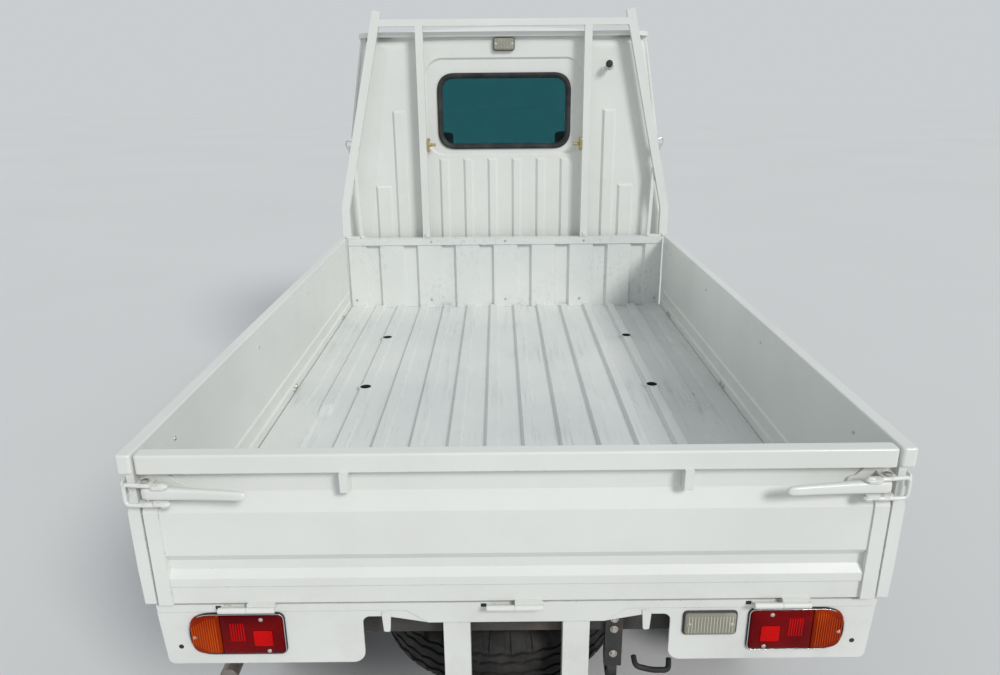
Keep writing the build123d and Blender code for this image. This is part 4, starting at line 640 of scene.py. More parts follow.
def make_lens(side, name, finish, **edges):
    """Half of a lamp's lens: straight wall, rounded rim and a slightly crowned front with a flat middle."""
    shape = Shape(side)
    loops = []
    for inset, y in ((0, LENS_BACK_Y), (0, LENS_FACE_Y - 3.4), (0.5, LENS_FACE_Y - 1.8),
                     (1.8, LENS_FACE_Y - 0.5), (4, LENS_FACE_Y), (14, LENS_FACE_Y + LENS_RISE * 0.7),
                     (24, LENS_FACE_Y + LENS_RISE)):
        # the corners at the split keep their radius at every inset
        inset += LENS_INSET
        kept = {key: value + inset if key in ("inner", "outer") else value for key, value in edges.items()}
        loops.append(lifted("y", lamp_outline(inset, **kept), y))
    shape.skin(loops)
    shape.done(name, finish, "lamp_red")


def make_tail_lamp(side):
    shape = Shape(side)
    shape.frame_strip("y", lamp_outline(0), lamp_outline(3.4), PANEL_Y - 17.5, PANEL_Y + 4.2)
    shape.done("lamp_gasket", RUBBER, "lamp_red", bevel=1.0)
    shape = Shape(side)
    shape.frame_strip("y", lamp_outline(0.8), lamp_outline(2.2), PANEL_Y + 2, PANEL_Y + 5.4)
    shape.done("lamp_bead", BRIGHT, "lamp_clear", bevel=0.5)
    shape = Shape(side)
    shape.slab("y", lamp_outline(LENS_INSET), PANEL_Y - 17, PANEL_Y - 8)
    for x, radius in ((500, 25), (594, 19)):
        shape.turned([(radius, 3.5), (radius * 0.8, 1.2), (radius * 0.4, 0.2), (4, 0)],
                     (x, PANEL_Y - 8, 556), BACK, 28)
    shape.done("lamp_reflector", CHROME, "lamp_clear", bevel=0.4, replaces=["tail_lamps"])
    make_lens(side, "lamp_red_lens", RED_LENS, high_x=LAMP_SPLIT + 3.2, outer=5)
    make_lens(side, "lamp_amber_lens", AMBER_LENS, low_x=LAMP_SPLIT - 3.0, inner=5)
    shape = Shape(side)
    for k in range(11):
        x = LAMP_SPLIT + 7 + 4.5 * k
        room = 9 + max(0, x - 582) * 0.62
        shape.slab("y", rect(x, LAMP_LOW + room, x + 1.9, LAMP_HIGH - room), PANEL_Y + 6.4, PANEL_Y + 8.2,
                   inset=0.6)
    # The amber ribs take the painted highlight colour.
    shape.done("lamp_amber_ribs", AMBER_RIB_HIGHLIGHT, "lamp_red")
    shape = Shape(side)
    shape.slab("y", rect(461, 532, 496, 566), PANEL_Y + 6, PANEL_Y + 8.9, radius=2.5)
    for row in range(7):
        for column in range(7):
            place = (464.4 + 4.7 * column, PANEL_Y + 8.6, 535 + 4.7 * row)
            shape.turned([(2.2, 0), (0.4, 0.9)], place, BACK, 6, start=pi / 6)
    for k in range(6):
        x = 513 + 4.8 * k
        shape.slab("y", rect(x, 542, x + 2.4, 583), PANEL_Y + 6.4, PANEL_Y + 8.2, inset=0.7)
    shape.done("lamp_red_reflex", REFLEX, "lamp_red")
    shape = Shape(side)
    for x, z in ((480, 590), (470, 519), (609, 551)):
        shape.turned([(4.2, 5), (4.2, 7.4), (3.3, 7.8)], (x, PANEL_Y, z), BACK, 16)
        shape.screw((x, PANEL_Y + 7.3, z), BACK, 2.7)
    shape.done("lamp_screws", ZINC, "lamp_red", bevel=0.2)


mirrored(make_tail_lamp)


# Reversing lamp on the right and cargo lamp on the cab's rear wall

def make_box_lamp(name, x0, x1, z0, z1, y, proud, ribs, radius, also=()):
    """A clear lens with inside ribs in a moulded frame, held by two screws."""
    inner = corner_rounded(rect(x0, z0, x1, z1, 2.4), max(radius - 2, 1))
    back, face, middle_z = y - 12 if also else y - 1, y + proud, (z0 + z1) / 2
    shape = Shape()
    shape.frame_strip("y", corner_rounded(rect(x0, z0, x1, z1), radius), inner, back, y + proud * 0.5)
    shape.done(f"{name}_frame", BLACK_PLASTIC, "lamp_clear", bevel=0.9, replaces=also)
    shape = Shape()
    shape.slab("y", inner, back, y + 0.8)
    shape.turned([(15, 2.6), (11, 1.4), (5, 0.9)], ((x0 + x1) / 2, y, middle_z), BACK, 24)
    shape.done(f"{name}_reflector", CHROME, "lamp_clear")
    shape = Shape()
    shape.skin([lifted("y", corner_rounded(rect(x0, z0, x1, z1, inset), max(radius - inset, 1.5)), level)
                for inset, level in ((2.6, y + 1), (2.6, face - 3), (3.4, face - 1.2), (5.0, face - 0.4),
                                     (8, face))])
    shape.done(f"{name}_lens", CLEAR_LENS, "lamp_clear")
    shape = Shape()
    for k in range(ribs):
        x = x0 + 9 + (x1 - x0 - 20) * k / (ribs - 1)
        shape.slab("y", rect(x, z0 + 8, x + 1.6, z1 - 8), face - 0.3, face + 0.6, inset=0.5)
    # The ribs take the painted highlight colour.
    shape.done(f"{name}_ribs", CLEAR_RIB_HIGHLIGHT, "lamp_clear")
    shape = Shape()
    for x in (x0 + 11, x1 - 11):
        shape.turned([(5.0, -1), (5.0, 0.8), (4.2, 1.1)], (x, face - 0.6, middle_z), BACK, 16)
        shape.screw((x, face + 0.2, middle_z), BACK, 3.1)
    shape.done(f"{name}_screws", ZINC, "lamp_clear")


make_box_lamp("reversing_lamp", -416, -314, 544, 596, PANEL_Y, 8.2, 15, 9, also=["clear_lamps"])
make_box_lamp("cargo_lamp", -43, 43, 1672, 1722, -425.5, 19.0, 12, 12)


# Corner latches of the tailgate

LATCH_Y = 1589.8
WIRE_Y = LATCH_Y + 27
# Along a latch's lever: x, y from the plate, half height, half depth, z of its middle
LEVER = ((652, 22, 8.2, 6, 868), (650, 22, 11.2, 8.5, 868), (640, 23, 12.0, 9.5, 868),
         (612, 25, 11.6, 9, 868.5), (580, 29, 10.6, 8, 869.5), (545, 34, 9.6, 7, 870.5),
         (510, 39, 8.8, 6.2, 871.5), (482, 43, 8.2, 5.6, 872), (471, 44.5, 7.4, 5.0, 872.2),
         (466, 45.2, 5.2, 3.6, 872.3), (464, 45.6, 2.2, 1.8, 872.3))


def make_latch(side):
    shape = Shape(side)
    hump = [(584, 857), (657, 857), (657, 886), (648, 896), (628, 897.5), (612, 893), (598, 879), (584, 874)]
    shape.slab("y", hump, LATCH_Y, LATCH_Y + 4.5, radius=6)
    for low, high in ((848, 852.5), (884, 888.5)):
        shape.slab("z", [(632, LATCH_Y + 2), (659, LATCH_Y + 2), (659, LATCH_Y + 26), (650, LATCH_Y + 33),
                         (638, LATCH_Y + 33), (632, LATCH_Y + 22)], low, high, radius=5)
    shape.done("latch_bracket", PAINT, body="tailgate", bevel=0.9, replaces=["tailgate_latches"])

    shape = Shape(side)
    shape.rod((645, LATCH_Y + 22, 845), (645, LATCH_Y + 22, 891), 4.2)
    for z, along in ((890, UP), (846.5, DOWN)):
        shape.turned([(7.2, 0), (7.2, 2.2), (4.6, 3.4)], (645, LATCH_Y + 22, z), along, 18)
    shape.done("latch_pivot", ZINC, "white_paint", "tailgate")

    shape = Shape(side)
    loops = []
    for x, off, tall, deep, z in LEVER:
        flat = corner_rounded(rect(-deep, -tall, deep, tall), min(tall, deep) * 0.8, 5)
        loops.append([(x, LATCH_Y + off + u, z + v) for u, v in flat])
    shape.skin(loops)
    for z in (884, 852):
        shape.slab("z", rect(606, LATCH_Y + 24, 632, LATCH_Y + 37), z - 4, z + 4, radius=5)
    shape.done("latch_lever", PAINT, body="tailgate", smooth=50)

    shape = Shape(side)
    shape.bend([(612, WIRE_Y + 4, 884), (640, WIRE_Y + 3, 885), (682, WIRE_Y - 1, 886),
                (682.4, WIRE_Y - 1, 846), (640, WIRE_Y + 3, 847), (612, WIRE_Y + 4, 849)], 3.9, 9, sides=12)
    for z in (884, 849):
        shape.turned([(6.4, -6), (6.8, -3), (6.8, 3), (6.4, 6)], (612, WIRE_Y + 4, z), (1, 0.05, 0), 6)
        shape.turned([(4.8, 5.5), (4.4, 8.5), (2.5, 9.5)], (612, WIRE_Y + 4, z), INWARD, 14)
    shape.done("latch_bail", PAINT, body="tailgate", smooth=50)

    shape = Shape(side)
    shape.slab("x", [(1571, 855), (1602, 855), (1603, 862), (1603, 876), (1600, 883), (1571, 884)],
               690.3, 694.0, radius=3)
    shape.turned([(6.5, 0), (6.5, 1.6), (4.5, 3.2), (1, 3.8)], (694, 1584, 870), OUT, 18)
    shape.done("latch_keeper", PAINT, body=f"side_gate_{WORDS[side]}", bevel=0.7)


mirrored(make_latch)


# Bed, headboard and guard frame fittings

FLOOR_TOP_Z, TAIL_Y = 645.0, 1609.5
BED_HOLES = [(x, TAIL_Y - reach, FLOOR_TOP_Z) for x in (-450, 450) for reach in (1035, 1530)]
RIB_END_X, RIB_END_Y, RIB_END_LENGTH, RIB_END_HALF = 541, 724.5 - 16, 74, 23.5


def headboard_point(x, z):
    return x, touch(("headboard",), (x, 200, z), AHEAD).y, z


def floor_point(x, y):
    return x, y, touch(("bed_floor",), (x, y, 900), DOWN).z


def make_bed_fittings():
    shape = Shape()
    for x in (-640, -318, 0, 318, 640):
        shape.screw(headboard_point(x, 668), BACK, 5.2)
    for x in (-330, 0, 310):
        shape.screw(headboard_point(x, 921), BACK, 4.6)
    shape.done("headboard_screws", ZINC, "white_paint")
    for name, finish, slot, section in (
            ("bed_hole_rims", BED, "white_paint",
             [(17.0, -9), (17.0, 0.2), (19.5, 0.8), (22.5, 0.4), (22.5, 0), (21, -0.3)]),
            # The black sleeves are painted shade lining each hole, so that it looks dark inside.
            ("bed_hole_shade_sleeves", RUBBER, "black_rubber",
             [(16.9, -0.6), (16.9, -58), (15.9, -58), (15.9, -0.6)])):
        shape = Shape()
        for place in BED_HOLES:
            shape.turned(section, place, UP, 32, ring=True)
        shape.done(name, finish, slot)
    shape = Shape()
    for x, y in ((-575, 120), (-560, 640), (-300, 1180), (-100, 1500), (210, 1320), (520, 1470), (575, 300),
                 (330, -60), (-380, 1520)):
        shape.turned([(6.5, -1), (6.5, 0.9), (5.2, 1.5), (2.0, 1.7), (0.1, 1.6)], floor_point(x, y), UP, 18)
    shape.done("bed_floor_rivets", BED, "white_paint")
    shape = Shape()
    shares = [k / 8 - 1 for k in range(17)]
    for side in (-1, 1):
        x = side * RIB_END_X
        top, low = floor_point(x, 690)[2], floor_point(x, 790)[2]
        loops = []
        for step in range(15):
            run = step / 14
            y = RIB_END_Y + RIB_END_LENGTH * run
            height = (top - low + 0.3) * (1 - run * run * (3 - 2 * run))
            half = RIB_END_HALF * (1 - 0.45 * run ** 3)
            loop = [(x + half * u, y, low - 0.4 + height * (1 - abs(u) ** 5)) for u in shares]
            loops.append(loop + [(x + half, y, low - 3), (x - half, y, low - 3)])
        shape.skin(loops)
    shape.done("bed_short_rib_ends", BED, "white_paint", smooth=50)


def make_gate_fittings(side):
    body = f"side_gate_{WORDS[side]}"

    def face_x(y, z, start, way):
        return abs(touch((body,), (side * start, y, z), (side * way, 0, 0)).x)

    shape = Shape(side)
    for y in (-220, 330, 880, 1430):
        shape.screw((face_x(y, 884, 400, 1), y, 884), INWARD, 4.6)
    for y in (-165, -137, 595, 623, 1349, 1377):
        shape.hex_bolt((face_x(y, 656, 400, 1), y, 656), INWARD, 10, 4.5, 8)
    shape.done("gate_screws", ZINC, "white_paint", body)
    shape = Shape(side)
    for y in (-329, 1560):
        x = face_x(y, 862, 900, -1)
        shape.slab("x", rect(y - 15, 838, y + 15, 886), x - 1, x + 2.2, radius=5)
        for z in (844, 880):
            shape.hex_bolt((x + 2, y, z), OUT, 8, 3.4, 5.6)
    shape.done("gate_latch_plates", PAINT, body=body, bevel=0.5)


def make_edge_buffers(side):
    shape = Shape(side)
    for y in (-300, 230, 1000, 1530):
        shape.slab("x", rect(y - 15, 574, y + 15, 596), 677, 687, radius=5, inset=2.5)
    shape.done("bed_edge_buffers", RUBBER, bevel=1.2)
    shape = Shape(side)
    for y in (-120, 330, 620, 1250, 1500):
        shape.bend([(650, y - 34, 577), (650, y - 34, 548), (668, y - 16, 540), (668, y + 16, 540),
                    (650, y + 34, 548), (650, y + 34, 577)], 4.6, 12)
    shape.done("rope_hooks", PAINT, smooth=60)


POST_X, POST_FACE_Y = 330.0, -367.0


def make_guard_fittings(side):
    shape = Shape(side)
    plate = [(-399.6, 1288), (-372, 1288), (-366.4, 1296), (-366.4, 1332), (-372, 1340), (-399.6, 1340)]
    shape.slab("x", plate, POST_X - 24, POST_X - 13.6, radius=4)
    shape.rod((POST_X - 50, -386, 1314), (POST_X - 16, -386, 1314), 5.8)
    shape.turned([(9, -4), (9, 4), (6, 6)], (POST_X - 27, -386, 1314), INWARD, 6)
    for z in (1294, 1334):
        shape.hex_bolt((POST_X - 24, -378, z), INWARD, 8, 5, 6)
    shape.done("guard_catch", BRASS, "white_paint", bevel=0.5)
    shape = Shape(side)
    shape.slab("y", rect(612, 1284, 640, 1312), -402, -396, radius=4)
    shape.bend([(618, -400, 1306), (618, -392, 1326), (642, -396, 1334), (650, -404, 1322), (646, -408, 1300),
                (634, -404, 1292)], 2.6, 6, sides=8)
    shape.hex_bolt((626, -396, 1298), BACK, 10, 5, 7)
    shape.done("guard_clip", BRIGHT, "white_paint", bevel=0.4)
    shape = Shape(side)
    for x, z in ((664, 941), (600, 941), (330, 948)):
        y = touch(("guard_frame", "headboard"), (side * x, 200, z), AHEAD).y
        shape.hex_bolt((x, y, z), BACK, 12, 5, 8.5)
    shape.weld((POST_X - 17, POST_FACE_Y + 1, 937.4), (POST_X + 17, POST_FACE_Y + 1, 937.4), 2.2)
    for x in (POST_X - 15, POST_X + 15):
        shape.weld((x, POST_FACE_Y - 2, 1760.5), (x, POST_FACE_Y - 28, 1760.5), 1.8)
    shape.done("guard_welds", PAINT)


def make_cab_back_fittings():
    shape = Shape()
    shape.rod((-425, -440, 1612), (-418, -392, 1618), 8.5, 24)
    shape.turned([(15, 0), (15, 2.5), (10, 4)], (-424.5, -425.5, 1612.6), BACK, 24)
    shape.done("roof_prop_stub", BRIGHT, "white_paint", bevel=0.5)
    shape = Shape()
    shape.turned([(12, 0), (14, 2), (14, 17), (12.6, 21), (7, 23.5), (0.1, 24)], (-417.5, -396, 1618),
                 (0.1, 1, 0.1), 28)
    shape.done("roof_prop_rubber", RUBBER)
    shape = Shape()
    section = ((4, -432.5), (5, -429.5), (4.2, -426), (0, -423.6), (-5, -423.2), (-9, -425), (-12, -428.6),
               (-16.5, -430.6), (-17, -434.5), (-14, -440), (-2, -440))
    shape.skin([lifted("y", corner_rounded(rect(-266, 1298, 266, 1586, -grow), 68 + grow, 10), y)
                for grow, y in section], ring=True)
    shape.done("rear_window_rubber", RUBBER, smooth=60, replaces=["rear_window_seal"])


GUTTER_Z, DROP_Y, LIP_LOW_Z = 1731, -474, 1720


def make_gutter(side):
    """Rain gutter along the roof's side and down from the end of the rear wall's lip."""
    def skin_x(y, z):
        return touch(("cab_sides", "cab_roof", "cab_back_panel"), (900, y, z), INWARD).x

    shape = Shape(side)
    shape.tube([(skin_x(y, GUTTER_Z) + 3.5, y, GUTTER_Z) for y in range(-487, -1117, -42)], 8.5)
    drop, panel = [], []
    for z, proud in ((1734, -7.5), (1727, -7.5), (1712, 11), (1700, 6), (1660, 3), (1610, 3), (1560, 3),
                     (1510, 3), (1460, 3), (1400, 3), (1340, 3)):
        x = skin_x(DROP_Y, z)
        drop.append((x + proud, DROP_Y, z))
        panel.append((x - (30 if z > LIP_LOW_Z else 6), z))
    shape.tube(drop, 7.0)
    # A web fills the corner between the lip's end, the drop and the panel
    shape.slab("y", [(x, z) for x, _, z in drop[1:5]] + panel[4:0:-1], DROP_Y - 6, DROP_Y + 6)
    shape.done("rain_gutter", PAINT, smooth=50)


def make_tail_panel_marks():
    """Black slabs beside the tailgate's hinges, painted shadow in the slots there, and a black disc for a drain
    hole at each lower corner of the panel.
    """
    shape = Shape()
    # Black slabs in the slots beside the hinges: painted shadow.
    for x in (-492, 4, 500):
        shape.slab("y", rect(x + 53, 610.5, x + 63, 618), PANEL_Y + 1, PANEL_Y + 1.9, radius=1.2)
    for x in (-640, 640):
        shape.turned([(4.8, -1), (4.8, 0.4), (4.2, 0.5)], (x, PANEL_Y, 525), BACK, 20)
    shape.done("tail_panel_holes_and_shadows", RUBBER)


make_bed_fittings()
mirrored(make_gate_fittings)
mirrored(make_edge_buffers)
mirrored(make_guard_fittings)
make_cab_back_fittings()
mirrored(make_gutter)
make_tail_panel_marks()


# Underneath and behind

SPRING_LOW_Z, TANK_STRAP = 226, 1.6


def make_underside():
    shape = Shape()
    for z in (552, 528, 470):
        shape.hex_bolt((-191, 1559.5, z), BACK, 10.5, 6, 8)
    for x in (-70, -300, 70, 300):
        shape.hex_bolt((x, 1589.5, 387), BACK, 14, 7, 11)
    shape.done("tow_bracket_bolts", ZINC, "chassis_black")
    shape = Shape()
    shape.bend([(-230, 1568, 470), (-230, 1590, 466), (-262, 1592, 458), (-296, 1586, 452),
                (-300, 1566, 462)], 5.5, 10, 12)
    shape.bend([(28, 1500, 596), (30, 1502, 540), (24, 1506, 470), (34, 1500, 400), (60, 1470, 350)],
               6.0, 40, 12, 8)
    shape.bend([(-60, 1380, 560), (-66, 1420, 520), (-90, 1440, 470), (-150, 1400, 440)], 5, 34, 10, 8)
    shape.done("under_bed_lines", RUBBER, smooth=60)
    shape = Shape()
    for s in (-1, 1):
        shape.slab("y", rect(s * 544, 548, s * 651, 568), 1206.4, 1209.5)
        for x in (560, 598, 636):
            shape.hex_bolt((s * x, 1209.4, 558), BACK, 10, 4.5, 7)
    shape.done("mud_flap_strips", ZINC, "chassis_black", bevel=0.4)
    shape = Shape()
    for s in (-1, 1):
        for y in (AXLE["rear"] - 46, AXLE["rear"] + 46):
            shape.bend([(s * 402, y, SPRING_LOW_Z), (s * 402, y, 392), (s * 470, y, 392),
                        (s * 470, y, SPRING_LOW_Z)], 6, 22, 12)
            for x in (402, 470):
                shape.turned([(9.5, 0), (9.5, 10), (7, 12)], (s * x, y, SPRING_LOW_Z), UP, 6)
        shape.block((s * 436 - 46, 842, 218), (s * 436 + 46, 963, 227))
        shape.rod((s * 500, 975, 262), (s * 494, 1040, 420), 15, 20)
        shape.rod((s * 495, 1030, 396), (s * 488, 1090, 545), 20, 20)
        shape.turned([(22, -9), (22, 9)], (s * 500, 973, 258), OUT, 20)
    shape.done("rear_spring_bolts", CHASSIS, bevel=0.6)
    for end, y in AXLE.items():
        for side, word in WORDS.items():
            shape = Shape(side)
            shape.turned([(60, 545), (98, 546), (103, 551), (103, 560), (108, 562), (108, 600), (104, 604),
                          (60, 604)], (0, y, HUB_Z), OUT, 48)
            for k in range(12):
                across, up = polar(106, 2 * pi * k / 12)
                shape.turned([(3, 566), (3, 598)], (0, y + across, HUB_Z + up), OUT, 6)
            shape.done(f"brake_drum_{end}", ENGINE, "chassis_black",
                       f"knuckle_{word}" if end == "front" else "chassis", bevel=0.7)
    shape = Shape()
    for z, r in ((497, 40), (510, 34)):
        shape.turned([(r, 0), (r, 11), (r * 0.8, 14)], (-560, -60, z), UP, 30)
    for y in (-170, 170):
        path = [(-356, 506), (-624, 506), (-625, 282), (-352, 281)]
        for pair in zip(path, path[1:]):
            low, high = ([pick(values) + sign * TANK_STRAP for values in zip(*pair)]
                         for pick, sign in ((min, -1), (max, 1)))
            shape.block((low[0], y - 13, low[1]), (high[0], y + 13, high[1]))
    shape.done("fuel_tank_straps", CHASSIS, bevel=0.6)
    shape = Shape()
    shape.slab("z", rect(352, -334, 604, -87), 496, 508, radius=10)
    for y in (-280, -140):
        shape.turned([(9, 0), (8, 16)], (480, y, 508), UP, 20)
        shape.block((466, y - 12, 512), (494, y + 12, 519))
    shape.done("battery_lid", BLACK_PLASTIC, bevel=1.5)


make_underside()


# Doors

DOOR_SKIN_X = 690.0
LOCK_PLACE = (DOOR_SKIN_X - 0.5, -590, 872)
DOOR_GLASS = "door_left_glass"


def glass_front(z):
    """The front edge of the door's glass at a height, found on the glass itself."""
    return next(y for y in range(-1440, -960, 4) if touch((DOOR_GLASS,), (900, y, z), INWARD) is not None)


def window_outline():
    """The door window's opening, a little outside its glass, its front edge sloping with the pillar."""
    low, high = glass_front(1060), glass_front(1560)
    slope = (high - low) / 500.0
    points = [(low - 57 * slope - 4, 999), (high + 46 * slope - 4, 1610), (-622.5, 1610), (-622.5, 999)]
    return corner_rounded(points, [40, 64, 60, 44], 8)


def make_door_trim(side):
    body = f"door_{WORDS[side]}"
    shape = Shape(side)
    shape.tube([(touch(("door_left", DOOR_GLASS), (900, y, z), INWARD).x - 0.5, y, z)
                for y, z in window_outline()], 7.0, ring=True)
    shape.done("door_window_rubber", RUBBER, body=body, smooth=60)
    shape = Shape(side)
    shape.slab("x", rect(-715, 896, -598, 944), DOOR_SKIN_X - 1, DOOR_SKIN_X + 2.2, radius=15)
    shape.slab("x", rect(-703, 902, -610, 928), DOOR_SKIN_X + 2.0, DOOR_SKIN_X + 2.6, radius=11)
    shape.bend([(DOOR_SKIN_X + 1, -706, 933), (DOOR_SKIN_X + 15, -694, 933), (DOOR_SKIN_X + 15, -619, 933),
                (DOOR_SKIN_X + 1, -607, 933)], 6.4, 10, sides=14)
    shape.turned([(11, 0), (11, 2.6), (9, 3.4)], LOCK_PLACE, OUT, 28)
    shape.done("door_handle", BLACK_PLASTIC, body=body, bevel=0.7)
    shape = Shape(side)
    shape.turned([(7.5, 2.4), (7.5, 3.9), (6.4, 4.4), (2.2, 4.4), (2.0, 2.8), (0.1, 2.8)],
                 LOCK_PLACE, OUT, 28)
    shape.done("door_lock", BRIGHT, "black_plastic", body)
    shape = Shape(side)
    shape.slab("x", rect(-1370, 628, -640, 958), 653.8, 648.6, radius=26)
    shape.slab("x", rect(-1180, 700, -800, 760), 649.0, 640, radius=20, inset=6)
    shape.done("door_card", GREY_PLASTIC, body=body, bevel=1.4)
    shape = Shape(side)
    shape.turned([(24, 0), (22, 6), (14, 9)], (648.8, -1180, 850), INWARD, 28)
    shape.rod((641, -1180, 850), (633, -1110, 868), 6.5, 14)
    shape.rod((636, -1108, 868), (616, -1108, 868), 9, 18, 11)
    shape.bend([(650, -905, 838), (624, -890, 838), (624, -780, 838), (650, -765, 838)], 9, 18, sides=12)
    shape.slab("x", rect(-750, 890, -690, 918), 649, 641, radius=9, inset=2)
    shape.done("door_inner_fittings", DARK_PLASTIC, body=body, bevel=0.8)
    shape = Shape(side)
    shape.slab("y", rect(716, 1072, 806, 1238), -1417.7, -1415.4, radius=24)
    shape.done("mirror_glass", MIRROR, "clear_glass", body, bevel=0.5)
    shape = Shape(side)
    shape.frame_strip("y", *(corner_rounded(rect(706, 1060, 818, 1250, k), 34 - k, 6) for k in (2, 11)),
                      -1418, -1413.4)
    shape.turned([(15, -8), (17, 0), (15, 8)], (698, -1418, 992), UP, 20)
    shape.done("mirror_rim", BLACK_PLASTIC, body=body, bevel=1.0)


mirrored(make_door_trim)


# Nose: lamps, grille, indicators, wipers and screen rubber

BELT_Z, NOSE_Y = 985.0, -1615.5
HEADLAMP = (352.0, 640, 612.0, 792)
HEADLAMP_SPLIT, HEADLAMP_MIDDLE, HEADLAMP_BACK_Y = 548.0, (450.0, 716.0), -1533
INDICATOR_MIDDLE = (580, 716)
# Across a lens's rim: inset, distance behind the lamp's surface
HEAD_LENS_EDGE = ((0, 6.0), (0, 2.2), (1.2, 0.6), (3.4, 0.0), (12, -0.1))


def front_hit(names, x, z):
    """Y of the first surface met from ahead, or None past its edge."""
    hit = touch(names, (x, -2200, z), BACK)
    return None if hit is None else hit.y


def draped(names, outline, middle, offset):
    """An outline laid on the named nodes from ahead; a point past the edge is drawn in until it lands."""
    found = []
    for x, z in outline:
        drawn = ((x + (middle[0] - x) * 0.02 * step, z + (middle[1] - z) * 0.02 * step) for step in range(12))
        hits = (front_hit(names, *place) for place in drawn)
        found.append((x, next((y for y in hits if y is not None), NOSE_Y + 40) + offset, z))
    return found


def dense(outline, longest):
    return divided(outline, lambda _, length: max(int(length / longest), 1))


def nose_y(x):
    """The nose's surface at the grille, below its slots."""
    return front_hit(("cab_front_panel",), x, 655)


def bumper_y(x):
    return -1647.5 + 62 * abs(x) / 689


def screen_y(x, z):
    half = 690 - 122 * (z - BELT_Z) / 780
    return NOSE_Y + 22 + (z - BELT_Z) * 0.52 + 58 * abs(x) / half


def headlamp_outline(inset, low=HEADLAMP[0], high=HEADLAMP[2], inner=24.0, outer=24.0):
    """The lamp's opening or a part of it, its straight edges divided so that they follow the nose."""
    radii = [max(r - inset, 3) for r in (inner, outer, outer, inner)]
    points = corner_rounded(rect(low, HEADLAMP[1], high, HEADLAMP[3], inset), radii, 6)
    return divided(points, lambda k, _: 8 if k % 7 == 6 else 1)


def make_headlamp(side):
    shape = Shape(side)
    edge = headlamp_outline(1.2, high=HEADLAMP_SPLIT)
    middle_x, middle_z = HEADLAMP_MIDDLE
    loops = [lifted("y", edge, HEADLAMP_BACK_Y), draped(("headlamps",), edge, HEADLAMP_MIDDLE, 9),
             draped(("headlamps",), headlamp_outline(5, high=HEADLAMP_SPLIT), HEADLAMP_MIDDLE, 12)]
    deep = max(y for _, y, _ in loops[-1])
    for radius, back in ((66, 0), (64, 4), (54, 14), (38, 22), (18, 26), (4, 27)):
        circle = [polar(radius, atan2(z - middle_z, x - middle_x)) for x, z in edge]
        loops.append([(middle_x + u, min(deep + 2 + back, -1536), middle_z + v) for u, v in circle])
    shape.skin(loops, caps=False)
    edge = headlamp_outline(1.2, low=HEADLAMP_SPLIT)
    shape.skin([lifted("y", edge, HEADLAMP_BACK_Y), draped(("headlamps",), edge, INDICATOR_MIDDLE, 14)])
    shape.turned([(11, 0), (10, 12), (7, 19), (0.1, 21)], (middle_x, -1540, middle_z), AHEAD, 20)
    shape.done("headlamp_bowl", CHROME, "lamp_clear", replaces=["headlamps"], smooth=50)

    for name, finish, low, high, inner, outer in (
            ("lens", HEAD_LENS, HEADLAMP[0], HEADLAMP_SPLIT - 0.8, 24.0, 6.0),
            ("indicator", AMBER_LENS, HEADLAMP_SPLIT + 0.8, HEADLAMP[2], 6.0, 24.0)):
        shape = Shape(side)
        middle = ((low + high) / 2, middle_z)
        loops = [draped(("headlamps",), headlamp_outline(inset, low, high, inner, outer), middle, offset)
                 for inset, offset in HEAD_LENS_EDGE]
        if name == "indicator":
            shape.skin(loops)
            for k in range(7):
                x = low + 8 + 7.2 * k
                y = front_hit(("headlamps",), x, middle_z)
                room = 10 + max(0, x - 586) * 0.5
                shape.slab("y", rect(x, 640 + room, x + 3.2, 792 - room), y + 1, y - 0.9, inset=0.8)
        else:
            shape.skin([[(x, y + 2.4, z) for x, y, z in loop] for loop in reversed(loops[2:])] + loops)
        shape.done(f"headlamp_{name}", finish, "lamp_clear", smooth=50)
    shape = Shape(side)
    outer, inner = (corner_rounded(rect(*HEADLAMP, -grow), 24 + grow, 6) for grow in (11, 2))
    shape.skin([draped(("cab_front_panel",), outline, (482, 500), offset)
                for outline, offset in ((outer, 1.0), (outer, -2.4), (inner, -3.4), (inner, 1.0))], ring=True)
    shape.done("headlamp_bezel", BLACK_PLASTIC, bevel=0.6)

    shape = Shape(side)
    loops = []
    for inset, offset in ((0, 40), (0, 6), (1.5, 4), (4, 3)):
        drawn = [(x + (505 - x) * inset / 71, z + (530 - z) * inset / 26)
                 for x, z in corner_rounded(rect(434, 504, 576, 556), 9, 6)]
        loops.append([(x, bumper_y(x) + offset + 6, z) for x, z in drawn])
    shape.skin(loops)
    for k in range(14):
        x = 440 + 9.6 * k
        y = bumper_y(x) + 9.4
        shape.slab("y", rect(x, 509, x + 4, 551), y, y - 1.6, inset=0.7)
    shape.done("bumper_indicator", AMBER_LENS, "lamp_clear")


